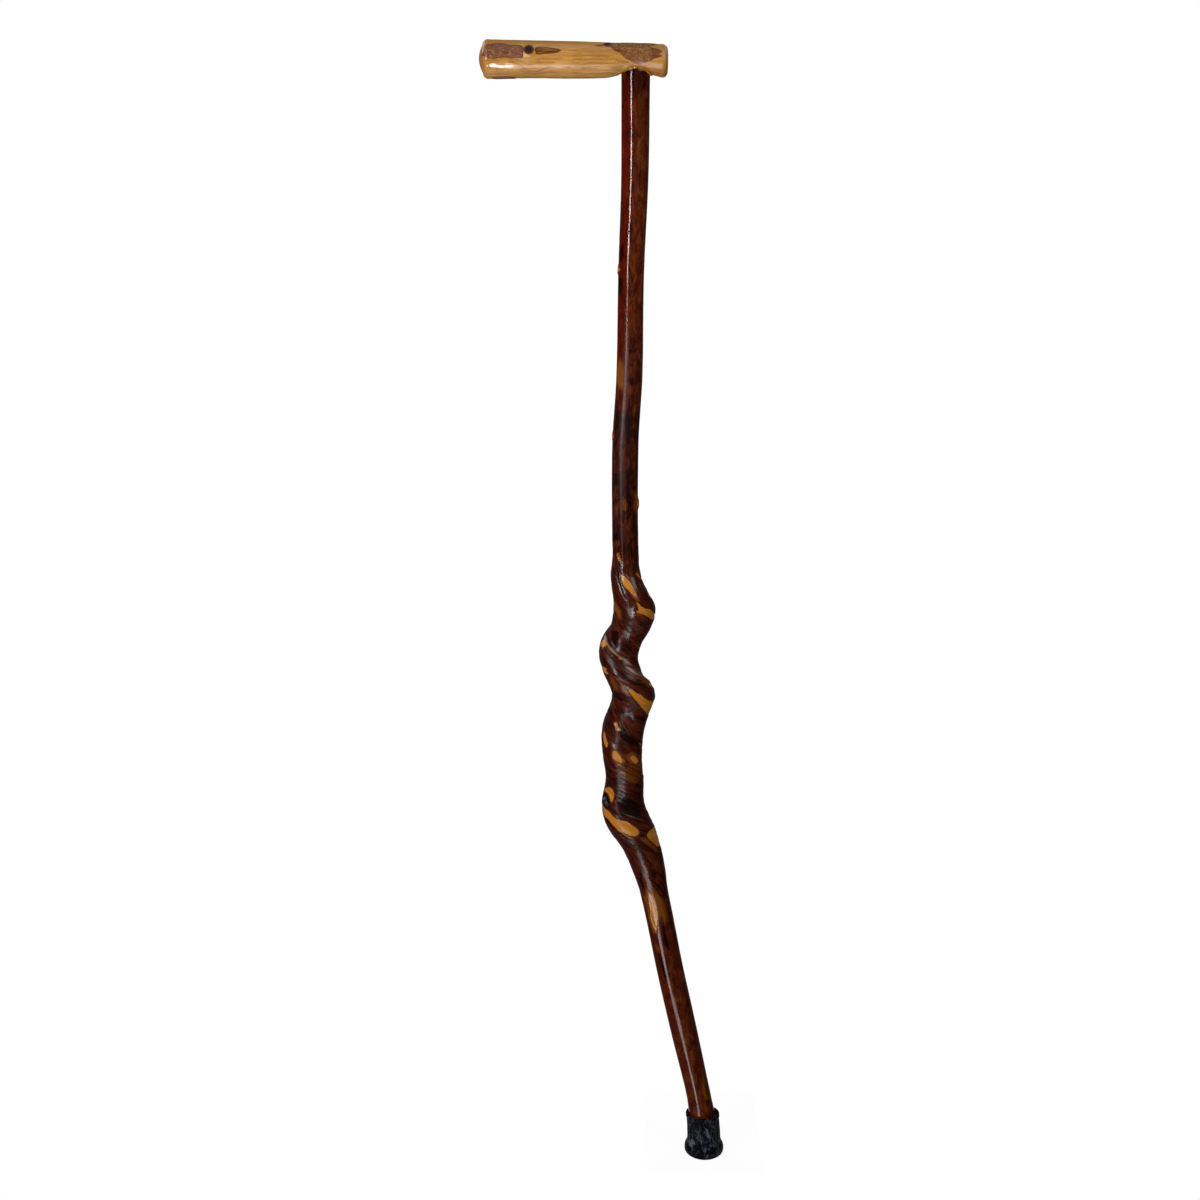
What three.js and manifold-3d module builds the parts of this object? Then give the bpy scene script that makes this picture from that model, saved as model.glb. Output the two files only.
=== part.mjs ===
// Twisted vine cane: a natural stick with a corkscrewed middle, a peeled branch glued on as its
// handle and a rubber tip. Millimetres, +Z up. The tip's sole rests on the floor round the
// origin, the handle points along -X, and the side that is usually shown faces -Y.

import * as THREE from 'three';
import { mergeVertices } from 'three/addons/utils/BufferGeometryUtils.js';
import Module from 'manifold-3d';

// Rubber tip
const tipHeight = 37;
const tipBaseDiameter = 33.6;
const tipBaseHeight = 4.5; // height of the widest place
const tipBaseBand = 12; // top of the flared base
const tipEdge = 2.2; // rounding at the sole
const tipBodyDiameter = 28.8;
const tipRimDiameter = 28;
const tipLipHeight = 3;
const tipLipProud = 0.5;
const tipLipRounding = 0.8;
const tipRimShift = 1.9; // the rim gives way towards the leaning stick
const tipRimTilt = 4; // degrees, the same way
const tipFloor = 8; // rubber below the washer
const fluteCount = 18;
const fluteDepth = 0.8;
const fluteWidthShare = 0.5; // of the space from one flute to the next
const fluteMargin = 1.5; // plain rubber under the lip
const soleGroovesFrom = 9; // middle radius of the inner ring groove
const soleGrooveCount = 2;
const soleGrooveSpacing = 3.2;
const soleGrooveWidth = 1.4;
const soleGrooveDepth = 1;

// Steel washer in the tip
const washerDiameter = 19;
const washerHole = 6.5;
const washerThickness = 1.2;

// Stick, in three lengths from the floor to the underside of the handle
const lowerHeight = 285;
const twistHeight = 243;
const upperHeight = 360;
const footDiameter = 22.4;
const neckDiameter = 21.2; // just above the tip
const lowerDiameter = 22.6;
const upperLowDiameter = 20.4;
const upperMidDiameter = 19.3;
const upperTopDiameter = 20.8;
const lowerReach = 56; // the twist's lower end stands this far left of the foot
const twistReach = 69.4; // and its middle this far
const upperReach = 64.4; // and the top this far
const sway = 2.5; // small bends to the left and right
const lowerBow = -3; // the lower length bends this far to the front
const upperBow = 4; // and the upper length this far to the back

// Corkscrew
const twistDiameter = 33;
const twistSwelling = 5.5; // extra diameter of the last lobe
const unevenness = 1.2;
const twistOffset = 5.8; // how far the middle of the stick winds off its line
const twistOffsetLow = 1.6; // the same in the lower turns
const twistTurns = 3.1;
const twistStartAzimuth = 240; // degrees, anticlockwise from +X seen from above
const seamAhead = 100; // degrees from the strand's crest on to the seam
const seamDepth = 2.2;
const seamLip = 0.5; // radians in which the lower lobe stands up from the seam
const seamHollow = 1.1; // radians in which the upper lobe slopes down to it
const lobeHeight = 0.5;

// Handle
const handleLength = 136;
const handleEndReach = 23; // from the stick's middle to the near end
const buttDiameter = 27.2; // far end, where the hand rests
const gripDiameter = 25.8; // middle
const headDiameter = 23.4; // near end, over the stick
const handleDepthShare = 1.12; // depth over height
const handleRise = 1.3; // the far end's middle above the near end's
const buttDome = 2.8;
const buttRounding = 2.8;
const headRounding = 4.2;

// Joint under the handle: a round tenon in a blind bore, with glue round it
const tenonDiameter = 17;
const woodOverTenon = 6;
const shoulderCover = 0.7; // the stick's full section goes this far past the handle's skin
const glueFilm = 0.4;
const glueBead = 1.6; // squeezed out round the stick

// Room between pieces that are cut to each other
const gap = 0.3;

// Fineness of the surfaces
const stickSides = 24;
const lowerStep = 13;
const twistStep = 4.2;
const upperStep = 18;
const handleSides = 24;
const handleStep = 16;
const lathedSides = 48;
const sidesPerFlute = 4;

const { clamp, degToRad, lerp, smoothstep } = THREE.MathUtils;

const twistBottom = lowerHeight;
const twistTop = twistBottom + twistHeight;
const handleUnderside = twistTop + upperHeight;
const handleMiddle = handleUnderside + headDiameter / 2;
const belowHandle = handleUnderside - headDiameter / 2;
const washerBottom = tipFloor + gap;
const footBottom = washerBottom + washerThickness + gap;
const socketRoom = gap + glueFilm + gap;
const shoulderHeight = skinHeight(upperTopDiameter / 2 + socketRoom) + shoulderCover;
const tenonTop = handleUnderside + headDiameter - woodOverTenon;

// Height of the handle's lower skin over the stick, a distance off its middle line
function skinHeight(distance) {
  const depthHalf = (handleDepthShare * headDiameter) / 2;
  const share = Math.min(distance / depthHalf, 1);
  return handleMiddle - (headDiameter / 2) * Math.sqrt(1 - share ** 2);
}

const wasm = await Module();
wasm.setup();

function toSolid(geometry) {
  const bare = geometry.clone();
  bare.deleteAttribute('normal');
  bare.deleteAttribute('uv');
  const merged = mergeVertices(bare, 1e-4);
  const mesh = new wasm.Mesh({
    numProp: 3,
    vertProperties: new Float32Array(merged.attributes.position.array),
    triVerts: new Uint32Array(merged.index.array),
  });
  return new wasm.Manifold(mesh);
}

function toGeometry(solid) {
  const mesh = solid.getMesh();
  const geometry = new THREE.BufferGeometry();
  geometry.setAttribute('position', new THREE.BufferAttribute(mesh.vertProperties, 3));
  geometry.setIndex(new THREE.BufferAttribute(mesh.triVerts, 1));
  geometry.computeVertexNormals();
  return geometry;
}

function piece(name, geometry, color, roughness, metalness) {
  const material = new THREE.MeshStandardMaterial({ color, roughness, metalness });
  const mesh = new THREE.Mesh(geometry, material);
  mesh.name = name;
  return mesh;
}

// A lathed shape that stands upright at a place along X
function lathe(outline, sides, x) {
  const profile = outline.map(([radius, height]) => new THREE.Vector2(radius, height));
  const geometry = new THREE.LatheGeometry(profile, sides);
  geometry.rotateX(Math.PI / 2);
  geometry.translate(x, 0, 0);
  return geometry;
}

// Outline points of a rounded corner: a quarter circle round a middle, from a direction on
function corner(middleRadius, middleHeight, rounding, fromTurn) {
  const steps = 3;
  const points = [];
  for (let i = 0; i <= steps; i += 1) {
    const turn = fromTurn + (i / steps) * (Math.PI / 2);
    const radius = middleRadius + rounding * Math.cos(turn);
    points.push([radius, middleHeight + rounding * Math.sin(turn)]);
  }
  return points;
}

// A smooth curve through (height, value) pairs, read at any height
function along(pairs) {
  return (height) => {
    let i = 0;
    while (i < pairs.length - 2 && height > pairs[i + 1][0]) {
      i += 1;
    }
    const [fromHeight, from] = pairs[i];
    const [toHeight, to] = pairs[i + 1];
    const [beforeHeight, before] = pairs[Math.max(i - 1, 0)];
    const [afterHeight, after] = pairs[Math.min(i + 2, pairs.length - 1)];
    const span = toHeight - fromHeight;
    const slopeFrom = (span * (to - before)) / (toHeight - beforeHeight);
    const slopeTo = (span * (after - from)) / (afterHeight - fromHeight);
    const t = clamp((height - fromHeight) / span, 0, 1);
    const bendFrom = t * (1 - t) * (1 - t) * slopeFrom;
    const bendTo = t * t * (t - 1) * slopeTo;
    return lerp(from, to, smoothstep(t, 0, 1)) + bendFrom + bendTo;
  };
}

// Heights as shares of each of the three lengths of the stick
const inLower = (share) => lerp(tipHeight, twistBottom, share);
const inTwist = (share) => lerp(twistBottom, twistTop, share);
const inUpper = (share) => lerp(twistTop, handleUnderside, share);

// The line that the stick follows, without its winding
const lineX = along([
  [0, 0],
  [tipFloor, 0],
  [tipHeight, -0.045 * lowerReach],
  [inLower(0.1), -0.125 * lowerReach],
  [inLower(0.33), -0.344 * lowerReach],
  [inLower(0.56), -0.56 * lowerReach],
  [inLower(0.78), -0.752 * lowerReach],
  [inLower(0.91), -0.88 * lowerReach],
  [twistBottom, -lowerReach],
  [inTwist(0.1), -twistReach + sway],
  [inTwist(0.2), -twistReach - sway],
  [inTwist(0.35), -twistReach - 0.4 * sway],
  [inTwist(0.55), -twistReach + 0.1 * sway],
  [inTwist(0.8), -twistReach + 0.1 * sway],
  [inTwist(0.9), -twistReach + 0.5 * sway],
  [twistTop, -twistReach - 0.3 * sway],
  [inUpper(0.25), -twistReach - 0.55 * sway],
  [inUpper(0.4), lerp(-twistReach, -upperReach, 0.5) - 0.4 * sway],
  [inUpper(0.62), -upperReach - sway],
  [inUpper(0.8), -upperReach - 0.1 * sway],
  [handleUnderside, -upperReach],
]);
const lineY = along([
  [0, 0],
  [tipHeight, 0],
  [inLower(0.5), lowerBow],
  [twistBottom, 0],
  [twistTop, 0],
  [inUpper(0.5), upperBow],
  [handleUnderside, 0],
]);

const lowerHalf = lowerDiameter / 2;
const twistHalf = twistDiameter / 2;
const upperLowHalf = upperLowDiameter / 2;
const upperTopHalf = upperTopDiameter / 2;

// Half the thickness of the stick
const halfThickness = along([
  [0, footDiameter / 2],
  [tipHeight, footDiameter / 2],
  [inLower(0.06), neckDiameter / 2],
  [inLower(0.15), neckDiameter / 2],
  [inLower(0.32), lowerHalf],
  [inLower(0.84), lerp(lowerHalf, twistHalf, 0.08)],
  [inLower(0.92), lerp(lowerHalf, twistHalf, 0.45)],
  [twistBottom, lerp(lowerHalf, twistHalf, 0.9)],
  [inTwist(0.08), twistHalf + twistSwelling / 2],
  [inTwist(0.17), twistHalf + 0.5 * unevenness],
  [inTwist(0.27), twistHalf - unevenness],
  [inTwist(0.4), twistHalf + 0.3 * unevenness],
  [inTwist(0.53), twistHalf + 0.9 * unevenness],
  [inTwist(0.65), twistHalf - 0.5 * unevenness],
  [inTwist(0.83), twistHalf + 0.3 * unevenness],
  [inTwist(0.93), lerp(upperLowHalf, twistHalf, 0.41)],
  [twistTop, lerp(upperLowHalf, twistHalf, 0.05)],
  [inUpper(0.06), upperLowHalf],
  [inUpper(0.4), upperLowHalf - 0.2 * unevenness],
  [inUpper(0.6), upperMidDiameter / 2],
  [inUpper(0.85), upperTopHalf - 0.2 * unevenness],
  [handleUnderside, upperTopHalf],
]);

// How far the stick winds off its line
const windingOffset = along([
  [0, 0],
  [inTwist(0.04), 0],
  [inTwist(0.2), twistOffsetLow],
  [inTwist(0.38), 1.4 * twistOffsetLow],
  [inTwist(0.54), twistOffset],
  [inTwist(0.84), twistOffset],
  [inTwist(0.91), 0.8 * twistOffset],
  [twistTop, 0.05 * twistOffset],
  [inUpper(0.05), 0],
  [handleUnderside, 0],
]);

// Turns wound from the top of the corkscrew down, tighter in the middle than at its ends
const turnsFromTop = along([
  [0, twistTurns],
  [twistBottom, twistTurns],
  [inTwist(0.36), 0.6 * twistTurns],
  [inTwist(0.54), 0.43 * twistTurns],
  [inTwist(0.83), 0.108 * twistTurns],
  [twistTop, 0],
  [handleUnderside, 0],
]);

// Strength of the seam between two lobes: full in the upper turns, gone towards the ends
const seamStrength = along([
  [0, 0],
  [inTwist(0.1), 0.1],
  [inTwist(0.45), 0.3],
  [inTwist(0.62), 0.9],
  [inTwist(0.74), 1],
  [inTwist(0.88), 0.25],
  [twistTop, 0],
  [handleUnderside, 0],
]);

// At the seam the lower lobe stands steep and the upper one slopes down to it
function stickRelief(fromSeam, height) {
  const width = fromSeam < 0 ? seamLip : seamHollow;
  const groove = Math.exp(-3 * (fromSeam / width) ** 2);
  const lobe = Math.cos(2 * fromSeam + 1);
  return seamStrength(height) * (lobeHeight * lobe - seamDepth * groove);
}

// Heights of the stick's rings, evenly spread over each length between its ends
function stickHeights(footEnd) {
  const lengths = [
    [footEnd, tipHeight, lowerStep],
    [tipHeight, twistBottom, lowerStep],
    [twistBottom, twistTop, twistStep],
    [twistTop, handleUnderside, upperStep],
  ];
  const heights = [];
  for (const [from, to, step] of lengths) {
    const count = Math.ceil((to - from) / step);
    for (let i = 0; i < count; i += 1) {
      heights.push(lerp(from, to, i / count));
    }
  }
  return heights;
}

// The stick as a cylinder whose rings are moved onto its line, with a round tenon on top.
// room makes it larger all round, to cut the pieces that it fits in.
function stickGeometry(footEnd, room) {
  const rings = stickHeights(footEnd).map((height) => ({ height, tenon: false }));
  rings.push({ height: handleUnderside, tenon: false });
  rings.push({ height: shoulderHeight + room, tenon: false });
  rings.push({ height: shoulderHeight + room, tenon: true });
  rings.push({ height: tenonTop + room, tenon: true });
  const last = rings.length - 1;
  const geometry = new THREE.CylinderGeometry(1, 1, last, stickSides, last);
  geometry.rotateX(Math.PI / 2);
  const position = geometry.attributes.position;
  const point = new THREE.Vector3();
  for (let i = 0; i < position.count; i += 1) {
    point.fromBufferAttribute(position, i);
    const { height, tenon } = rings[Math.round(point.z + last / 2)];
    const crest = degToRad(twistStartAzimuth + 360 * turnsFromTop(height));
    const fromSeam = Math.atan2(point.y, point.x);
    const azimuth = crest + degToRad(seamAhead) + fromSeam;
    const natural = halfThickness(height) + stickRelief(fromSeam, height);
    const half = tenon ? tenonDiameter / 2 : natural;
    const radius = Math.hypot(point.x, point.y) * (half + room);
    const winding = windingOffset(height);
    const x = lineX(height) + winding * Math.cos(crest) + radius * Math.cos(azimuth);
    const y = lineY(height) + winding * Math.sin(crest) + radius * Math.sin(azimuth);
    position.setXYZ(i, x, y, height);
  }
  return geometry;
}

// Half the height of the handle, from its near end over the stick to its butt
const handleHalf = along([
  [0, headDiameter / 2],
  [handleEndReach, headDiameter / 2],
  [0.5 * handleLength, gripDiameter / 2],
  [0.72 * handleLength, gripDiameter / 2],
  [handleLength, buttDiameter / 2],
]);

function handleOutline(room) {
  const headHalf = handleHalf(0);
  const buttHalf = handleHalf(handleLength);
  const buttFlat = handleLength - buttDome;
  const sides = [];
  const count = Math.round(handleLength / handleStep);
  for (let i = 1; i < count; i += 1) {
    const length = (i / count) * handleLength;
    sides.push([handleHalf(length) + room, length]);
  }
  return [
    [0, -room],
    ...corner(headHalf - headRounding, headRounding, headRounding + room, -Math.PI / 2),
    ...sides,
    ...corner(buttHalf - buttRounding, buttFlat - buttRounding, buttRounding + room, 0),
    [0.5 * buttHalf, handleLength - 0.25 * buttDome + room],
    [0, handleLength + room],
  ];
}

// Lathed upright, then laid down so that it runs along -X and rises a little to the butt
function handleGeometry(room) {
  const geometry = lathe(handleOutline(room), handleSides, 0);
  const rise = handleRise / handleLength;
  geometry.rotateY(-Math.PI / 2);
  geometry.scale(1, handleDepthShare, 1);
  geometry.applyMatrix4(new THREE.Matrix4().makeShear(0, -rise, 0, 0, 0, 0));
  geometry.translate(handleEndReach - upperReach, 0, handleMiddle);
  return geometry;
}

// Round tool on the joint's line: the tenon's bore and the wider mouth below it
function socketGeometry(room) {
  const mouth = upperTopHalf + room;
  const bore = tenonDiameter / 2 + room;
  const outline = [
    [0, belowHandle],
    [mouth, belowHandle],
    [mouth, shoulderHeight + room],
    [bore, shoulderHeight + room],
    [bore, tenonTop + room],
    [0, tenonTop + room],
  ];
  return lathe(outline, lathedSides, -upperReach);
}

// Round bar on the joint's line, up to the middle of the handle
function barGeometry(radius) {
  const outline = [
    [0, belowHandle],
    [radius, belowHandle],
    [radius, handleMiddle],
    [0, handleMiddle],
  ];
  return lathe(outline, lathedSides, -upperReach);
}

// Rubber tip's ring grooves, from the middle of the sole outwards
function soleGrooves() {
  const points = [];
  for (let i = 0; i < soleGrooveCount; i += 1) {
    const inner = soleGroovesFrom + i * soleGrooveSpacing - soleGrooveWidth / 2;
    const outer = inner + soleGrooveWidth;
    points.push([inner, 0], [inner, soleGrooveDepth], [outer, soleGrooveDepth], [outer, 0]);
  }
  return points;
}

function tipOutline() {
  const base = tipBaseDiameter / 2;
  const body = tipBodyDiameter / 2;
  const rim = tipRimDiameter / 2;
  const lip = rim + tipLipProud;
  const lipBottom = tipHeight - tipLipHeight;
  const flare = [0.35, 0.7, 1].map((share) => [
    lerp(base, body, smoothstep(share, 0, 1)),
    lerp(tipBaseHeight, tipBaseBand, share),
  ]);
  return [
    [0, 0],
    ...soleGrooves(),
    ...corner(base - tipEdge, tipEdge, tipEdge, -Math.PI / 2),
    [base, tipBaseHeight],
    ...flare,
    [body, tipBaseBand + fluteMargin],
    [lerp(body, rim, 0.5), lipBottom - 2 * fluteMargin],
    [rim, lipBottom - fluteMargin],
    [rim, lipBottom - tipLipProud],
    [lip, lipBottom],
    [lip, tipHeight - tipLipRounding],
    [lip - tipLipRounding, tipHeight],
    [0, tipHeight],
  ];
}

// Flutes run up the body between the flared base and the lip, and the rim leans over
function tipGeometry() {
  const geometry = lathe(tipOutline(), sidesPerFlute * fluteCount, 0);
  const position = geometry.attributes.position;
  const fluteTop = tipHeight - tipLipHeight - fluteMargin;
  const point = new THREE.Vector3();
  for (let i = 0; i < position.count; i += 1) {
    point.fromBufferAttribute(position, i);
    const radius = Math.hypot(point.x, point.y);
    const turn = (Math.atan2(point.y, point.x) / (2 * Math.PI)) * fluteCount;
    const inFlute = Math.cos(2 * Math.PI * turn) > Math.cos(Math.PI * fluteWidthShare);
    const onBody = radius > 0 && point.z > tipBaseBand && point.z < fluteTop;
    const scale = inFlute && onBody ? (radius - fluteDepth) / radius : 1;
    const lean = (point.z / tipHeight) ** 2;
    const drop = lean * point.x * Math.tan(degToRad(tipRimTilt));
    const x = point.x * scale - lean * tipRimShift;
    position.setXYZ(i, x, point.y * scale, point.z - drop);
  }
  return geometry;
}

function washerGeometry() {
  const outside = washerDiameter / 2;
  const inside = washerHole / 2;
  const top = washerBottom + washerThickness;
  const outline = [
    [inside, washerBottom],
    [outside, washerBottom],
    [outside, top],
    [inside, top],
    [inside, washerBottom],
  ];
  return lathe(outline, lathedSides, 0);
}

const stick = toSolid(stickGeometry(footBottom, 0));
const stickWithGap = toSolid(stickGeometry(footBottom, gap));
const boreTool = toSolid(stickGeometry(tipFloor, gap));
const handleBlank = toSolid(handleGeometry(0));
const handleWithGap = toSolid(handleGeometry(gap));
const socketTool = toSolid(socketGeometry(socketRoom));
const tipBlank = toSolid(tipGeometry());

// Glue: a film round the tenon, and a bead squeezed out round the stick under the handle's
// skin, in steps that go less far down the further they are from the stick
function glue() {
  const steps = [
    [0.4, 1],
    [0.7, 0.7],
    [1, 0.4],
  ];
  const bead = steps.map(([outward, downward]) => {
    const bar = toSolid(barGeometry(upperTopHalf + gap + outward * glueBead));
    const reach = toSolid(handleGeometry(gap + downward * glueBead));
    return bar.intersect(reach).subtract(handleWithGap);
  });
  const filmReach = toSolid(handleGeometry(gap + glueBead / 2));
  const film = toSolid(socketGeometry(gap + glueFilm)).intersect(filmReach);
  return bead.reduce((sum, step) => sum.add(step), film).subtract(stickWithGap);
}

const cane = new THREE.Group();
cane.add(piece('shaft', toGeometry(stick), 0x4a1d0c, 0.25, 0));
cane.add(piece('handle', toGeometry(handleBlank.subtract(socketTool)), 0xcf9a50, 0.3, 0));
cane.add(piece('joint_glue', toGeometry(glue()), 0xa8691c, 0.2, 0));
cane.add(piece('ferrule', toGeometry(tipBlank.subtract(boreTool)), 0x1b1a20, 0.75, 0));
cane.add(piece('ferrule_washer', washerGeometry(), 0xb4b6b8, 0.35, 1));

export default cane;
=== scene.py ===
from math import ceil, cos, degrees, exp, hypot, inf, pi, radians, sin, sqrt

import bmesh
import bpy
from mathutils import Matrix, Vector, noise


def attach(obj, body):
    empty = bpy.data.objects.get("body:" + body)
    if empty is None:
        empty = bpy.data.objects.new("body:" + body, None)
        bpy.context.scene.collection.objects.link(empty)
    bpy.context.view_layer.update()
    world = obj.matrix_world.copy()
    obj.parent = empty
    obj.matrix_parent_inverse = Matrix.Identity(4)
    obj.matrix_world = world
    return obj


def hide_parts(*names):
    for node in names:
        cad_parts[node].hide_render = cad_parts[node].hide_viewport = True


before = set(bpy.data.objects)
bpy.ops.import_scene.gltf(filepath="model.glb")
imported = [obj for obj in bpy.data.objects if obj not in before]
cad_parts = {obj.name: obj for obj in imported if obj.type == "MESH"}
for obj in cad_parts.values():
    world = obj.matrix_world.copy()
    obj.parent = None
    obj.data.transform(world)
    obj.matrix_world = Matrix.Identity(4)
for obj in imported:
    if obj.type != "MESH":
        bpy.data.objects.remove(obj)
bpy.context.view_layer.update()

mm = 0.001
print("frame loaded")


def blendTo(a, b, share):
    return a + (b - a) * share


def limit(value, low, high):
    return min(max(value, low), high)


def easeIn(value, low, high):
    share = limit((value - low) / (high - low), 0, 1)
    return share * share * (3 - 2 * share)


# Degrees from one direction to another, from -180 to 180
def turnBetween(start, end):
    return (end - start + 180) % 360 - 180


# A smooth curve through (place, value) pairs
def smoothCurve(pairs):
    def read(place):
        i = 0
        while i < len(pairs) - 2 and place > pairs[i + 1][0]:
            i += 1
        start, a = pairs[i]
        end, b = pairs[i + 1]
        before, valueBefore = pairs[max(i - 1, 0)]
        after, valueAfter = pairs[min(i + 2, len(pairs) - 1)]
        span = end - start
        slopeA = span * (b - valueBefore) / (end - before)
        slopeB = span * (valueAfter - a) / (after - start)
        t = limit((place - start) / span, 0, 1)
        bend = t * (1 - t) ** 2 * slopeA + t * t * (t - 1) * slopeB
        return blendTo(a, b, t * t * (3 - 2 * t)) + bend
    return read


def srgb(code):
    shares = [int(code[i:i + 2], 16) / 255 for i in (1, 3, 5)]
    linear = [c / 12.92 if c <= 0.04045 else ((c + 0.055) / 1.055) ** 2.4 for c in shares]
    return (*linear, 1)


# Noise from -1 to 1 at a place in millimetres
def waver(x, y, z, seed):
    return noise.noise(Vector((x + 31.7 * seed, y - 17.3 * seed, z + 7.9 * seed)))


# A node's output, on which sums can be written
class Socket:
    def __init__(self, finish, link):
        self.finish = finish
        self.link = link

    def maths(self, operation, *values):
        return self.finish.node("ShaderNodeMath", {"operation": operation}, dict(enumerate(values)))

    def __add__(self, other):
        return self.maths("ADD", self, other)

    def __radd__(self, other):
        return self.maths("ADD", other, self)

    def __sub__(self, other):
        return self.maths("SUBTRACT", self, other)

    def __rsub__(self, other):
        return self.maths("SUBTRACT", other, self)

    def __mul__(self, other):
        return self.maths("MULTIPLY", self, other)

    def __rmul__(self, other):
        return self.maths("MULTIPLY", other, self)

    def size(self):
        return self.maths("ABSOLUTE", self)

    def orMore(self, other):
        return self.maths("MAXIMUM", self, other)

    def clamped(self):
        return self.finish.node("ShaderNodeClamp", {}, {0: self})

    def ease(self, low, high, start=0, end=1):
        inputs = dict(enumerate((self, low, high, start, end)))
        return self.finish.node("ShaderNodeMapRange", {"interpolation_type": "SMOOTHSTEP"}, inputs)


# A material and the nodes that make it
class Finish:
    def __init__(self, name, constants):
        self.material = bpy.data.materials.new(name)
        self.material.use_nodes = True
        self.nodes = self.material.node_tree.nodes
        self.links = self.material.node_tree.links
        self.shader = self.nodes["Principled BSDF"]
        for socket, value in constants.items():
            self.shader.inputs[socket].default_value = value

    def node(self, kind, settings=None, inputs=None, output=0):
        made = self.nodes.new(kind)
        for name, value in (settings or {}).items():
            if name == "stops":
                self.setStops(made.color_ramp, value)
            else:
                setattr(made, name, value)
        for name, value in (inputs or {}).items():
            if isinstance(value, Socket):
                self.links.new(value.link, made.inputs[name])
            else:
                made.inputs[name].default_value = value
        return Socket(self, made.outputs[output])

    def setStops(self, ramp, stops):
        while len(ramp.elements) < len(stops):
            ramp.elements.new(0.5)
        for element, (place, code) in zip(ramp.elements, stops):
            element.position = place
            element.color = srgb(code)

    def objectPlace(self):
        return self.node("ShaderNodeTexCoord", output="Object")

    def layer(self, name, output="Fac"):
        return self.node("ShaderNodeAttribute", {"attribute_name": name}, output=output)

    # Noise and cells with so many waves a millimetre or a metre along each direction
    def cloud(self, vector, waves, detail, roughness=0.55, distortion=0):
        stretched = self.node("ShaderNodeMapping", {}, {0: vector, 3: waves})
        return self.node("ShaderNodeTexNoise", {}, {
            "Vector": stretched, "Scale": 1, "Detail": detail, "Roughness": roughness,
            "Distortion": distortion})

    def cells(self, vector, waves, output="Distance"):
        stretched = self.node("ShaderNodeMapping", {}, {0: vector, 3: waves})
        return self.node("ShaderNodeTexVoronoi", {}, {"Vector": stretched, "Scale": 1}, output)

    def ramp(self, value, stops):
        return self.node("ShaderNodeValToRGB", {"stops": stops}, {0: value})

    def mixed(self, a, b, factor):
        a = srgb(a) if isinstance(a, str) else a
        b = srgb(b) if isinstance(b, str) else b
        return self.node("ShaderNodeMix", {"data_type": "RGBA"}, {0: factor, 6: a, 7: b}, output=2)

    def bump(self, height, distance):
        inputs = {"Height": height, "Distance": distance, "Strength": 1}
        self.into("Normal", self.node("ShaderNodeBump", {}, inputs))

    def into(self, socket, value):
        self.links.new(value.link, self.shader.inputs[socket])


def pieceFrom(shape, name):
    mesh = bpy.data.meshes.new(name)
    shape.to_mesh(mesh)
    shape.free()
    piece = bpy.data.objects.new(name, mesh)
    bpy.context.scene.collection.objects.link(piece)
    return piece


# A grid wrapped round: place(turn, row) gives a point in millimetres, its layer values and,
# for the stick, where it lies along the grain
def wrapGrid(name, sides, rows, place, layers=(), grain=False):
    shape = bmesh.new()
    bmesh.ops.create_grid(shape, x_segments=sides, y_segments=rows, size=0.5)
    floats = [shape.verts.layers.float.new(layer) for layer in layers]
    grainLayer = shape.verts.layers.float_vector.new("grain") if grain else None
    for vert in shape.verts:
        turn = round((vert.co.x + 0.5) * sides) % sides / sides
        row = round((vert.co.y + 0.5) * rows)
        point, values, fibre = place(turn, row)
        vert.co = Vector(point) * mm
        for layer, value in zip(floats, values):
            vert[layer] = value
        if grain:
            vert[grainLayer] = fibre
    bmesh.ops.remove_doubles(shape, verts=shape.verts, dist=1e-6)
    bmesh.ops.recalc_face_normals(shape, faces=shape.faces)
    for face in shape.faces:
        face.smooth = True
    return pieceFrom(shape, name)


def finishPiece(piece, finish, node):
    piece.data.materials.append(finish.material)
    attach(piece, "root")
    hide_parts(node)
    print(piece.name, len(piece.data.polygons), "faces")


# Points of a quarter circle, a step at a time, as (distance from the axis, place along it)
def arc(middleRadius, middle, rounding, fromTurn, steps):
    turns = [fromTurn + i / steps * pi / 2 for i in range(steps + 1)]
    return [(middleRadius + rounding * cos(turn), middle + rounding * sin(turn)) for turn in turns]


# A mark is an outline of (along in mm, round in degrees), or a line where it has a width
def mark(strength, *outline, width=0):
    return {"strength": strength, "outline": outline, "width": width}


# How far inside a mark a place lies, in millimetres
def depthInside(outline, along, azimuth, radius, width):
    points = [(a - along, radians(turnBetween(azimuth, b)) * radius) for a, b in outline]
    ends = points[1:] if width else points[1:] + points[:1]
    nearest = inf
    inside = False
    for (ax, ay), (bx, by) in zip(points, ends):
        dx, dy = bx - ax, by - ay
        length = dx * dx + dy * dy
        share = limit(-(ax * dx + ay * dy) / length, 0, 1) if length else 0
        nearest = min(nearest, hypot(ax + dx * share, ay + dy * share))
        if (ay > 0) != (by > 0) and ax - ay * dx / dy > 0:
            inside = not inside
    if width:
        return width / 2 - nearest
    return nearest if inside else -nearest


class Marks:
    reach = 4  # mm round a mark in which its edge still counts

    def __init__(self, marks):
        self.marks = []
        for one in marks:
            heights = [a for a, b in one["outline"]]
            middle = one["outline"][0][1]
            turns = [turnBetween(middle, b) for a, b in one["outline"]]
            span = (min(heights), max(heights), middle + (min(turns) + max(turns)) / 2,
                    (max(turns) - min(turns)) / 2)
            self.marks.append((one, span))

    # The deepest mark at a place: how deep inside it and its strength
    def at(self, along, azimuth, radius):
        best, strength = -self.reach, 0
        margin = degrees(self.reach / radius)
        for one, (low, high, middle, half) in self.marks:
            if not low - self.reach < along < high + self.reach:
                continue
            if abs(turnBetween(middle, azimuth)) > half + margin:
                continue
            depth = depthInside(one["outline"], along, azimuth, radius, one["width"])
            if depth > best:
                best, strength = depth, one["strength"]
        return best, strength


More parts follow.
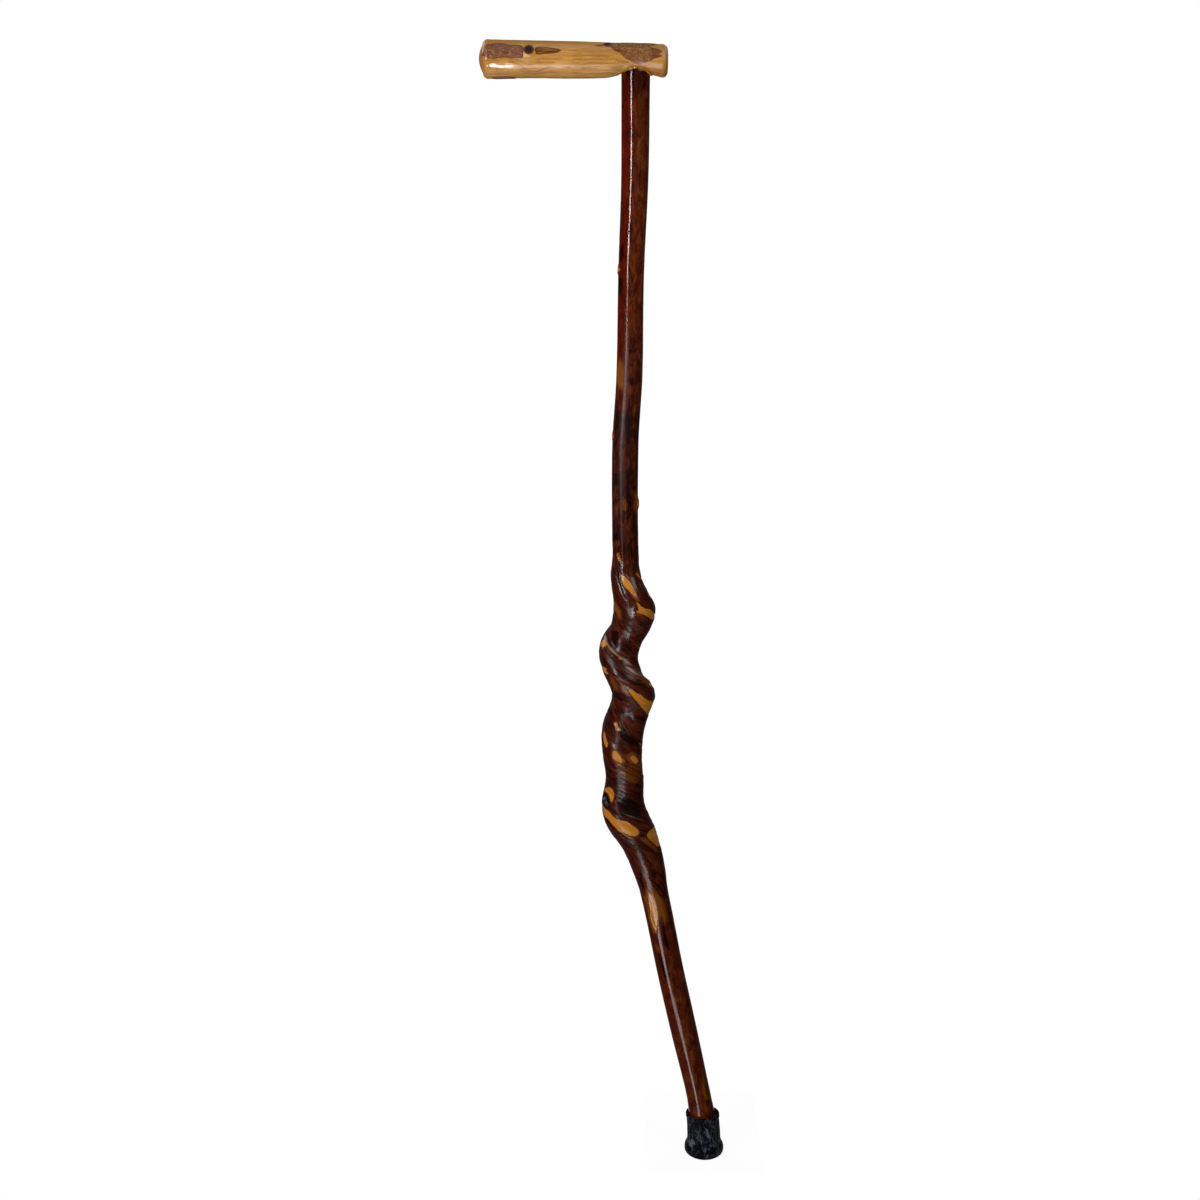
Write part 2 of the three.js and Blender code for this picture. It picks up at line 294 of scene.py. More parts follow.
# A depth as a layer value: 0.5 at the mark's edge, 0 and 1 at 2 mm outside and inside it
def depthLayer(depth):
    return limit(0.5 + depth / 4, 0, 1)


# The stick's form, the same as in the CAD, in millimetres
cane = {
    "tipHeight": 37, "tipFloor": 8,
    "lowerHeight": 285, "twistHeight": 243, "upperHeight": 360,
    "footDiameter": 22.4, "neckDiameter": 21.2, "lowerDiameter": 22.6,
    "upperLowDiameter": 20.4, "upperMidDiameter": 19.3, "upperTopDiameter": 20.8,
    "lowerReach": 56, "twistReach": 69.4, "upperReach": 64.4,
    "sway": 2.5, "lowerBow": -3, "upperBow": 4,
    "twistDiameter": 33, "twistSwelling": 5.5, "unevenness": 1.2,
    "twistOffset": 5.8, "twistOffsetLow": 1.6, "twistTurns": 3.1,
    "twistStartAzimuth": 240, "seamAhead": 100, "seamDepth": 2.2,
    "seamLip": 0.5, "seamHollow": 1.1, "lobeHeight": 0.5,
    "footBottom": 9.8, "shoulderHeight": 896.4, "tenonTop": 905.4, "tenonDiameter": 17,
}
twistBottom = cane["lowerHeight"]
twistTop = twistBottom + cane["twistHeight"]
handleUnderside = twistTop + cane["upperHeight"]


# A curve up the stick, from heights in the foot and from shares of the three parts above it
def stickCurve(foot, lower, twist, upper):
    spans = [(0, 1), (cane["tipHeight"], twistBottom), (twistBottom, twistTop),
             (twistTop, handleUnderside)]
    pairs = []
    for (start, end), part in zip(spans, (foot, lower, twist, upper)):
        pairs += [(blendTo(start, end, share), value) for share, value in part]
    return smoothCurve(pairs)


lowX, twistX, topX, sway = cane["lowerReach"], cane["twistReach"], cane["upperReach"], cane["sway"]
lineX = stickCurve(
    [(0, 0), (cane["tipFloor"], 0), (cane["tipHeight"], -0.045 * lowX)],
    [(0.1, -0.125 * lowX), (0.33, -0.344 * lowX), (0.56, -0.56 * lowX), (0.78, -0.752 * lowX),
     (0.91, -0.88 * lowX), (1, -lowX)],
    [(0.1, -twistX + sway), (0.2, -twistX - sway), (0.35, -twistX - 0.4 * sway),
     (0.55, -twistX + 0.1 * sway), (0.8, -twistX + 0.1 * sway), (0.9, -twistX + 0.5 * sway),
     (1, -twistX - 0.3 * sway)],
    [(0.25, -twistX - 0.55 * sway), (0.4, -(twistX + topX) / 2 - 0.4 * sway),
     (0.62, -topX - sway), (0.8, -topX - 0.1 * sway), (1, -topX)])
lineY = stickCurve(
    [(0, 0), (cane["tipHeight"], 0)], [(0.5, cane["lowerBow"]), (1, 0)], [(1, 0)],
    [(0.5, cane["upperBow"]), (1, 0)])

footHalf, neckHalf, lowHalf, twistHalf, upperHalf, topHalf = (
    cane[part + "Diameter"] / 2
    for part in ("foot", "neck", "lower", "twist", "upperLow", "upperTop"))
uneven = cane["unevenness"]
halfThickness = stickCurve(
    [(0, footHalf), (cane["tipHeight"], footHalf)],
    [(0.06, neckHalf), (0.15, neckHalf), (0.32, lowHalf)]
    + [(share, blendTo(lowHalf, twistHalf, swell))
       for share, swell in ((0.84, 0.08), (0.92, 0.45), (1, 0.9))],
    [(0.08, twistHalf + cane["twistSwelling"] / 2)]
    + [(share, twistHalf + part * uneven)
       for share, part in ((0.17, 0.5), (0.27, -1), (0.4, 0.3), (0.53, 0.9), (0.65, -0.5),
                           (0.83, 0.3))]
    + [(share, blendTo(upperHalf, twistHalf, swell))
       for share, swell in ((0.93, 0.41), (1, 0.05))],
    [(0.06, upperHalf), (0.4, upperHalf - 0.2 * uneven), (0.6, cane["upperMidDiameter"] / 2),
     (0.85, topHalf - 0.2 * uneven), (1, topHalf)])

wide, slight = cane["twistOffset"], cane["twistOffsetLow"]
windingOffset = stickCurve(
    [(0, 0)], [],
    [(0.04, 0), (0.2, slight), (0.38, 1.4 * slight), (0.54, wide), (0.84, wide),
     (0.91, 0.8 * wide), (1, 0.05 * wide)],
    [(0.05, 0), (1, 0)])
allTurns = cane["twistTurns"]
turnsFromTop = stickCurve(
    [(0, allTurns)], [(1, allTurns)],
    [(0.36, 0.6 * allTurns), (0.54, 0.43 * allTurns), (0.83, 0.108 * allTurns), (1, 0)], [(1, 0)])
seamStrength = stickCurve(
    [(0, 0)], [], [(0.1, 0.1), (0.45, 0.3), (0.62, 0.9), (0.74, 1), (0.88, 0.25), (1, 0)], [(1, 0)])


def crestAt(height):
    return radians(cane["twistStartAzimuth"] + 360 * turnsFromTop(height))


def seamRelief(fromSeam, height):
    width = cane["seamLip"] if fromSeam < 0 else cane["seamHollow"]
    groove = exp(-3 * (fromSeam / width) ** 2)
    lobe = cos(2 * fromSeam + 1)  # two lobes to a turn
    return seamStrength(height) * (cane["lobeHeight"] * lobe - cane["seamDepth"] * groove)


# The camera, fitted to the photo's view
view = {"place": (-0.0902, -1.25, 0.85), "downwards": 15.806, "lens": 49.53, "sensor": 36}
camera = bpy.data.objects.new("camera", bpy.data.cameras.new("camera"))
camera.location = view["place"]
camera.rotation_euler = (radians(90 - view["downwards"]), 0, 0)
camera.data.lens = view["lens"]
camera.data.sensor_width = view["sensor"]
bpy.context.scene.collection.objects.link(camera)
bpy.context.scene.camera = camera
print("camera placed")


# Marks on the stick, as (height, degrees anticlockwise from +X seen from above)
stickMarks = {
    "peeled": [
        mark(0.5, (535.5, 222.8), (537, 237), (534, 245.2), (530.5, 253.5), (528.5, 253.5),
             (530, 242.2), (532.5, 231)),
        mark(1, (520, 249.8), (520, 257.3), (518, 272.2), (515, 285), (510.5, 290.2), (506, 293.3),
             (504, 291), (504.5, 282.7), (507.5, 273), (510, 261), (513.5, 252), (517, 249)),
        mark(0.95, (500, 280.5), (499, 287.2), (496.5, 291.8), (494, 303), (493, 312.8),
             (492.5, 321), (488.5, 332.2), (483.5, 368.8), (481, 353), (482, 324.8),
             (485.5, 309.8), (488.5, 294.8), (489.5, 285), (491, 276), (492.5, 270.7),
             (493, 280.5), (495.5, 280.5), (498, 280.5)),
        mark(0.8, (521, 315), (520, 328.5), (517.5, 339), (514, 377), (511.5, 377), (512.5, 377),
             (516, 333.8), (518, 321), (519.5, 314.2)),
        mark(0.9, (506, 359.7), (504, 379.2), (501, 378.5), (498.5, 379.2), (500.5, 344.2),
             (503, 339.8)),
        mark(0.85, (464, 195), (463.5, 201.8), (461.5, 217.5), (460, 219), (459, 215.2),
             (458.5, 204), (459, 175), (462, 193.5)),
        mark(0.8, (454.5, 243.8), (454.5, 247.5), (454, 252), (453, 251.2), (453.5, 246.8)),
        mark(0.75, (452.5, 267), (453, 272.2), (451.5, 282), (450.5, 282.7), (451, 273.8),
             (452, 268.5)),
        mark(0.95, (444, 169.8), (445, 210), (444.5, 226.5), (443.5, 227.2), (442.5, 219.8),
             (440.5, 226.5), (439.5, 219), (439.5, 188.5), (441, 172.8)),
        mark(0.9, (431, 340.5), (429.5, 380.8), (426.5, 382.2), (422.5, 377.8), (425.5, 359.7),
             (429, 339.8)),
        mark(1, (429, 263.2), (430, 270.7), (429.5, 277.5), (428, 279), (425.5, 285),
             (424.5, 291.8), (421, 299.2), (418, 309), (416, 320.2), (412, 365), (408, 363.5),
             (403, 362), (398.5, 363.5), (400, 347), (403.5, 322.5), (407, 306.8), (412, 290.2),
             (416, 280.5), (420, 271.5), (423.5, 266.2), (426.5, 262.5)),
        mark(1, (397.5, 233.2), (398.5, 238.5), (397, 246.8), (395, 249), (392, 261.8),
             (391.5, 255), (391.5, 249.8), (395, 240.8)),
        mark(0.6, (397.5, 250.5), (397, 253.5), (394.5, 260.2), (394.5, 258)),
        mark(0.95, (388.5, 200.2), (387, 209.2), (383, 218.2), (380, 226.5), (377.5, 225.8),
             (375.5, 219), (377, 212.2), (379.5, 204.8), (384.5, 199.5)),
        mark(0.95, (374.5, 241.5), (376, 248.2), (375, 255), (372, 263.2), (368, 270),
             (365.5, 267.8), (365, 261.8), (366.5, 253.5), (368, 243), (370.5, 239.2)),
        mark(0.9, (370, 292.5), (371.5, 301.5), (370, 311.2), (366, 324.8), (364.5, 324.8),
             (363.5, 316.5), (363.5, 307.5), (366.5, 297), (368.5, 291.8)),
        mark(0.7, (380, 323.2), (379, 329.2), (376.5, 352.2), (376.5, 333), (378.5, 325.5)),
        mark(1, (337, 178.8), (340, 204), (342, 219), (341, 231.8), (337.5, 240), (334.5, 241.5),
             (331, 239.2), (329.5, 234), (331, 229.5), (333.5, 225), (335.5, 217.5), (336, 206.2),
             (335, 183.3)),
        mark(1, (325.5, 181), (323.5, 200.2), (322.5, 216.8), (322, 228), (320, 234.8),
             (318, 242.2), (317, 252), (316, 258.8), (316, 266.2), (315, 274.5), (313, 280.5),
             (310.5, 289.5), (308, 294), (306, 294), (304, 287.2), (303, 280.5), (303, 271.5),
             (303.5, 264), (305.5, 255), (306.5, 243), (309, 238.5), (311, 230.3), (313, 224.2),
             (315, 219), (315, 207), (317.5, 183.3), (322, 179.5)),
        mark(0.95, (304, 2), (301.5, 11.8), (299, 5), (292.5, 5.7), (286, -1), (289.5, -32.2),
             (295.5, -45), (299.5, -52.5), (302, -53.2), (304, -45), (305, -32.2)),
        mark(0.6, (279.5, 178), (278.5, 189.2), (273.5, 197.5), (273, 187.8), (275.5, 176.5)),
        mark(1, (249, 248.2), (251, 257.3), (248.5, 262.5), (244.5, 266.2), (237.5, 269.2),
             (229.5, 266.2), (221, 259.5), (216.5, 253.5), (215, 246.8), (217.5, 239.2),
             (223, 233.2), (229.5, 233.2), (238.5, 242.2), (245, 246)),
        mark(1, (751.9, 160), (753.6, 168), (754.2, 186), (753.8, 204), (752, 215), (750, 204),
             (749.4, 186), (750, 168)),
        mark(1, (626.6, 158), (628.2, 167), (628.8, 184), (628.5, 200), (626.5, 211), (624.9, 200),
             (624.4, 184), (625, 167)),
        mark(0.9, (577.4, 331), (577.2, 346), (571.2, 348), (571.6, 333)),
    ],
    "amber": [
        mark(0.8, (503, 175.8), (500.5, 187), (497, 210), (494.5, 220.5), (491.5, 228.8),
             (488, 231.8), (483.5, 231), (484.5, 222.8), (488, 212.2), (489, 183.3),
             (487.5, 168.2)),
        mark(0.9, (506, 277.5), (504.5, 293.3), (502, 297), (499.5, 289.5), (499, 281.2),
             (502.5, 278.2)),
        mark(0.35, (523.5, 294.8), (523.5, 315), (518.5, 360.5), (511.5, 377), (512, 377),
             (516, 319.5), (520, 304.5)),
        mark(0.5, (442.5, 228), (439, 238.5), (435, 243), (430, 239.2), (424, 228), (426.5, 216),
             (431.5, 213.8)),
        mark(0.4, (449, 286.5), (446.5, 315), (438.5, 362.8), (430.5, 362), (424.5, 343.5),
             (428, 325.5), (435, 312), (441.5, 293.3)),
        mark(0.4, (431.5, 242.2), (430.5, 261), (423.5, 267.8), (413.5, 286.5), (405, 315),
             (408.5, 294), (416, 267.8), (423, 248.2)),
        mark(0.5, (464.5, 291.8), (462.5, 316.5), (457, 357.5), (453, 362), (458.5, 307.5)),
        mark(0.6, (416, 171.2), (414, 208.5), (409.5, 222.8), (405.5, 221.2), (409.5, 206.2)),
        mark(0.6, (376.5, 238.5), (377.5, 252), (374.5, 266.2), (369, 278.2), (364, 275.3),
             (361.5, 260.2), (365.5, 240), (371.5, 235.5)),
        mark(0.7, (373.5, 286.5), (374, 302.2), (371, 317.2), (364.5, 336.8), (360, 329.2),
             (359.5, 302.2), (364.5, 288), (369.5, 282.7)),
        mark(0.4, (366, 250), (362, 275), (368, 300), (372, 320), (368, 345), (355, 350),
             (348, 330), (344, 300), (350, 270), (358, 252)),
        mark(0.5, (337.5, 163), (343.5, 217.5), (341.5, 238.5), (336, 246.8), (329.5, 243.8),
             (328, 231), (334.5, 177.2)),
        mark(0.55, (301.5, 288), (304, 309), (294.5, 313.5), (285, 337.5), (284.5, 319.5),
             (292.5, 297.8), (297.5, 285)),
        mark(0.4, (316, 212.2), (310, 227.2), (305, 240.8), (301.5, 261), (302, 283.5),
             (305, 297.8), (308.5, 298.5), (314, 282), (318, 252), (323.5, 215.2)),
        mark(0.8, (254, 240.8), (254, 261), (249.5, 283.5), (244.5, 303), (238, 305.3),
             (231, 304.5), (223, 298.5), (220.5, 288.8), (228.5, 283.5), (225.5, 268.5),
             (216.5, 259.5), (212, 246.8), (213.5, 228.8), (223.5, 216.8), (237.5, 224.2),
             (243.5, 216.8)),
        mark(0.5, (269, 255), (270, 264), (264, 270), (258.5, 276.8), (253.5, 283.5), (251, 276.8),
             (253, 265.5), (256.5, 254.2), (262, 252.8)),
        mark(0.5, (201.5, 212.2), (204.5, 239.2), (198.5, 251.2), (194, 249), (195.5, 228.8)),
        mark(0.8, (75, 298.5), (73.5, 317.2), (63.5, 317.2), (53, 325.5), (54, 303), (63, 292.5)),
        mark(0.75, (684, 204.8), (685, 232.5), (678, 243.8), (663.5, 247.5), (662.5, 221.2),
             (672.5, 178.8)),
        mark(0.5, (755.5, 166), (755.5, 208), (752, 219), (748, 205), (748, 166)),
        mark(0.5, (630, 166), (630.5, 209), (627.5, 220), (623.5, 207.8), (623.5, 166)),
        mark(0.7, (578.5, 256.5), (579.5, 273.8), (574, 280.5), (570, 273.8), (571.5, 258.8)),
        mark(0.5, (585.5, 297), (585, 315.8), (578, 371.8), (570, 372.5), (566.5, 326.2),
             (572, 304.5), (578, 318.7)),
        mark(0.5, (574, 220.5), (573.5, 237.8), (567.5, 242.2), (562.5, 231.8), (567, 220.5)),
        mark(0.5, (545.5, 224.2), (546, 240.8), (543, 245.2), (542, 230.3)),
        mark(0.25, (531, 293.3), (527, 308.2), (523.5, 297), (527.5, 284.2)),
    ],
    # dark marks: dark bark at knots and patches, and painted shade in the seam's groove, the
    # twist's creases and the hollow
    "dark": [
        mark(1, (466.5, 182.2), (463.5, 213), (460.5, 231.8), (457.5, 254.2), (455, 271.5),
             (452, 293.3), width=1.1),
        mark(0.9, (462.5, 230.3), (466.5, 222.8), (472, 219), (472.5, 234), (468.5, 243.8),
             (463.5, 248.2), (460.5, 248.2), (460.5, 240)),
        mark(1, (429, 279.8), (429.5, 285.8), (427, 288.8), (426, 286.5), (426.5, 282)),
        mark(1, (396.5, 247.5), (395.5, 252.8), (393.5, 258), width=0.8),
        mark(0.7, (398, 252.8), (394, 266.2), (389, 281.2), (384.5, 294), width=0.9),
        mark(1, (333.5, 181.8), (335.5, 208.5), (334.5, 221.2), (332, 228), (329, 229.5),
             (325.5, 227.2), (324, 219.8), (324.5, 210), (327, 201.8), (329.5, 180.2)),
        mark(0.6, (329, 229.5), (330, 243.8), (329, 249.8), (326, 234.8)),
        mark(0.75, (332, 258.8), (335.5, 270), (334.5, 288), (331, 304.5), (324, 321),
             (319.5, 324), (316.5, 306), (318.5, 292.5), (320.5, 277.5), (322.5, 265.5),
             (326.5, 258.8)),
        mark(0.7, (314, 213.8), (310, 225.8), (305.5, 236.2), (303, 245.2), width=1.6),
        mark(0.7, (518.5, 231), (521.5, 235.5), (516, 237), (511, 242.2), (506.5, 244.5),
             (501.5, 252), width=1.6),
        mark(0.6, (531.5, 227.2), (527, 240.8), (524, 263.2), (518.5, 282), width=1.0),
        mark(0.55, (497, 224.2), (493.5, 234), (490, 237.8), width=1.2),
        mark(0.8, (425.5, 193), (426, 227.2), (421, 232.5), (419, 245.2), (417.5, 234.8),
             (419, 219), (420.5, 190.8)),
        mark(0.6, (408, 258), (409.5, 267), (404, 278.2), (397, 290.2), (399, 276.8),
             (403.5, 264.8)),
        mark(0.7, (390, 258.8), (391, 274.5), (383, 309.8), (377, 324.8), (379, 294.8),
             (383.5, 270.7)),
        mark(0.7, (266.5, 258.8), (261.5, 276), (255, 297.8), (248, 315.8), width=1.6),
        mark(0.9, (268, 243), (259.5, 231.8), (253.5, 235.5), (247, 235.5), width=1.8),
        mark(0.8, (283.5, 231), (279.5, 232.5), width=1.6),
        mark(0.7, (227, 288.8), (216.5, 285), (207.5, 289.5), (198.5, 289.5), (198.5, 280.5),
             (206, 270.7), (217, 274.5)),
        mark(0.8, (196, 239.2), (184.5, 241.5), (173, 246), width=2.2),
        mark(0.6, (692.5, 262.5), (693.5, 282), (692, 300.7), (691, 286.5), (690.5, 267)),
        mark(0.7, (670.5, 267.8), (671.5, 280.5), (669, 292.5), (666, 284.2), (667.5, 268.5)),
        mark(0.8, (646, 204.8), (646.5, 234.8), (639, 243.8), (632, 236.2), (631, 208.5),
             (639.5, 211.5)),
        mark(0.8, (644, 266.2), (643, 282), (632.5, 284.2), (621, 287.2), (622, 273.8),
             (632.5, 268.5)),
        mark(0.85, (599, 220.5), (600, 246.8), (594, 252), (589, 242.2), (590, 219.8)),
        mark(0.75, (601, 273.8), (600, 291.8), (591, 291.8), (579, 287.2), (582.5, 276),
             (592.5, 276)),
        mark(0.6, (770, 201.8), (771, 230.3), (762, 233.2), (756, 216), (762, 200.2)),
        mark(0.6, (747, 178.8), (746, 222), (735.5, 226.5), (732.5, 213), (738.5, 183.3)),
        mark(0.6, (546.5, 285.8), (547, 305.3), (545, 294.8), width=0.8),
        mark(0.5, (849.5, 202.5), (850, 227.2), (850.5, 244.5), width=0.7),
        mark(0.5, (559, 231), (559, 246.8), (553, 246), (553, 231)),
    ],
    # the lip: a pale line along the seam, partly a painted highlight where the lip catches light,
    # partly bark worn lighter
    "lip": [
        mark(1, (464.5, 195), (461.8, 213), (458.8, 231.8), (455.8, 254.2), (453.3, 271.5),
             (450, 293.3), (446.5, 312), width=0.45),
    ],
    "nub": [
        mark(1, (754, 166), (754, 204), (751.5, 209.2), (749, 198.8), (748.5, 166)),
        mark(1, (628.5, 170.5), (629, 207), (627, 211.5), (625, 207), (624.5, 175.8)),
        mark(1, (578, 331.5), (577, 368.8), (574, 372.5), (570, 372.5), (571, 335.2)),
    ],
}

stick = {
    "sides": 128,
    "rings": [(9.8, 37, 6), (37, 262, 2.1), (262, 545, 0.9), (545, 888, 2.2)],  # from, to, step
    "ringInHandle": 892,
    "grainRadius": 13,
    # relief: mm across and along, seed, how high on the plain stick and in the twist
    "waves": [(4, 45, 0, 0.09, 0.18), (1.6, 16, 3, 0.016, 0.04), (6, 7, 4, 0.05, 0.32)],
    "twistStarts": (250, 300), "twistEnds": (520, 560),
    "peelDepth": 0.35, "creaseDepth": 0.55, "nubHeight": 0.9,
    "hollow": {"heights": (322, 337), "azimuths": (170, 232), "depth": 2.0},
    # where each mark sets in, in mm inside its edge
    "peelEdge": (-0.5, 0.6), "creaseEdge": (-0.5, 0.9), "hollowEdge": (0, 2.5),
    "nubEdge": (-2, 1.5), "amberEdge": (-2.5, 3), "darkEdge": (-1.2, 1), "lipGlintEdge": (-0.5, 0.3),
    # patches repeated on the back: number of a patch in front, moved up, turned by degrees
    "backPatches": [(1, -14, 175), (2, 8, 140), (8, 10, 240), (10, 24, 145), (13, -20, 240),
                    (14, 34, 200), (15, 44, 150), (18, 32, 170), (18, -14, 200),
                    (21, 26, 200), (21, -90, 160), (19, -40, 110)],
    # how light the bark is, how much of its red side shows, and how much its tone varies
    # the tone's fall from 865 to 888 mm, just under the handle, is painted shade from the handle
    "tone": [(0, 0.58), (60, 0.6), (110, 0.6), (170, 0.57), (230, 0.53), (262, 0.49), (300, 0.43),
             (340, 0.36), (400, 0.43), (440, 0.43), (480, 0.44), (520, 0.45), (545, 0.38),
             (600, 0.38), (645, 0.43), (665, 0.5), (700, 0.53), (760, 0.55), (865, 0.55),
             (888, 0.36)],
    "red": [(0, 0.35), (120, 0.5), (230, 0.5), (270, 0.25), (540, 0.2), (600, 0.3), (660, 0.7),
            (720, 1), (888, 1)],
    "contrast": [(0, 1.2), (90, 0.9), (200, 0.7), (270, 1), (540, 1), (640, 1.3), (700, 0.95),
                 (888, 0.85)],
    # how rough and how rippled the varnish is
    "rough": [(0, 0.12), (220, 0.14), (270, 0.22), (460, 0.24), (520, 0.2), (600, 0.3), (680, 0.28),
              (720, 0.16), (760, 0.08), (888, 0.07)],
    "ripple": [(0, 0.12), (220, 0.15), (270, 0.8), (540, 0.8), (640, 0.5), (700, 0.35),
               (888, 0.35)],
    # the left side is redder and the right browner
    "redSide": 198, "redFade": (40, 72), "brownShare": (0.6, 0.9), "brownRise": (230, 290),
    "layers": ("peeled", "peeledTone", "amber", "dark", "lip", "redness",
               "tone", "contrast", "rough", "ripple"),
    "barkColours": [(0, "#070201"), (0.2, "#1a0705"), (0.42, "#3c140a"), (0.6, "#552410"),
                    (0.8, "#6e3a17"), (1, "#8a561e")],
    "redColours": [(0, "#0e0201"), (0.2, "#200301"), (0.42, "#3e0902"), (0.65, "#591405"),
                   (1, "#78300e")],
    "woodColours": [(0.3, "#8e4c0c"), (0.46, "#b87420"), (0.58, "#c88530"), (0.72, "#dba461")],
    "amberColour": "#80460f", "dullWood": "#8c4b0e", "woodEdge": "#8a4a0e", "rimColour": "#140502",
    "lipGlintColour": "#a57a3e",
}


def turnedCopy(original, up, turn):
    return {**original, "outline": [(a + up, b + turn) for a, b in original["outline"]]}


peeledPatches = Marks(stickMarks["peeled"] + [
    turnedCopy(stickMarks["peeled"][i], up, turn) for i, up, turn in stick["backPatches"]])
amberPatches, darkBarkAndShadeMarks = Marks(stickMarks["amber"]), Marks(stickMarks["dark"])
nubMarks, lipGlintMarks = Marks(stickMarks["nub"]), Marks(stickMarks["lip"])
redAlong = smoothCurve(stick["red"])
looksAlong = [smoothCurve(stick[look]) for look in ("tone", "contrast", "rough", "ripple")]

stickRows = [("pole", cane["footBottom"])]
for start, end, step in stick["rings"]:
    ringCount = ceil((end - start) / step)
    stickRows += [("ring", blendTo(start, end, i / ringCount)) for i in range(ringCount)]
stickRows += [("ring", handleUnderside), ("ring", stick["ringInHandle"]),
              ("ring", cane["shoulderHeight"]), ("tenon", cane["shoulderHeight"]),
              ("tenon", cane["tenonTop"]), ("pole", cane["tenonTop"])]


def stickPoint(turn, row):
    kind, height = stickRows[row]
    crest = crestAt(height)
    fromSeam = 2 * pi * turn - pi
    around = crest + radians(cane["seamAhead"]) + fromSeam
    azimuth = degrees(around) % 360
    half = halfThickness(height)
    x, y = stick["grainRadius"] * cos(fromSeam), stick["grainRadius"] * sin(fromSeam)
    peel, peelTone = peeledPatches.at(height, azimuth, half)
    glow, glowTone = amberPatches.at(height, azimuth, half)
    shade, shadeTone = darkBarkAndShadeMarks.at(height, azimuth, half)
    nub, _ = nubMarks.at(height, azimuth, half)
    lip, _ = lipGlintMarks.at(height, azimuth, half)
    if kind == "ring":
        radius = half + seamRelief(fromSeam, height)
        twisted = easeIn(height, *stick["twistStarts"]) * (1 - easeIn(height, *stick["twistEnds"]))
        for across, along, seed, plain, inTwist in stick["waves"]:
            rise = waver(x / across, y / across, height / along, seed)
            radius += rise * blendTo(plain, inTwist, twisted)
        radius -= stick["peelDepth"] * easeIn(peel, *stick["peelEdge"])
        radius -= stick["creaseDepth"] * shadeTone * easeIn(shade, *stick["creaseEdge"]) * twisted
        hollow = stick["hollow"]
        (bottom, top), (right, left) = hollow["heights"], hollow["azimuths"]
        if bottom < height < top and right < azimuth < left:
            radius -= hollow["depth"] * easeIn(shade, *stick["hollowEdge"])
        radius += stick["nubHeight"] * easeIn(nub, *stick["nubEdge"])
    else:
        radius = 0 if kind == "pole" else cane["tenonDiameter"] / 2
    offset = windingOffset(height)
    point = (lineX(height) + offset * cos(crest) + radius * cos(around),
             lineY(height) + offset * sin(crest) + radius * sin(around), height)
    fromLeft = abs(turnBetween(stick["redSide"], azimuth))
    brown = blendTo(*stick["brownShare"], easeIn(height, *stick["brownRise"]))
    redness = redAlong(height) * (1 - brown * easeIn(fromLeft, *stick["redFade"]))
    values = [depthLayer(peel), peelTone, glowTone * easeIn(glow, *stick["amberEdge"]),
              shadeTone * easeIn(shade, *stick["darkEdge"]), easeIn(lip, *stick["lipGlintEdge"]),
              redness] + [look(height) for look in looksAlong]
    return point, values, (x, y, height)


shaft = wrapGrid("twisted_stick", stick["sides"], len(stickRows) - 1, stickPoint,
                 stick["layers"], grain=True)


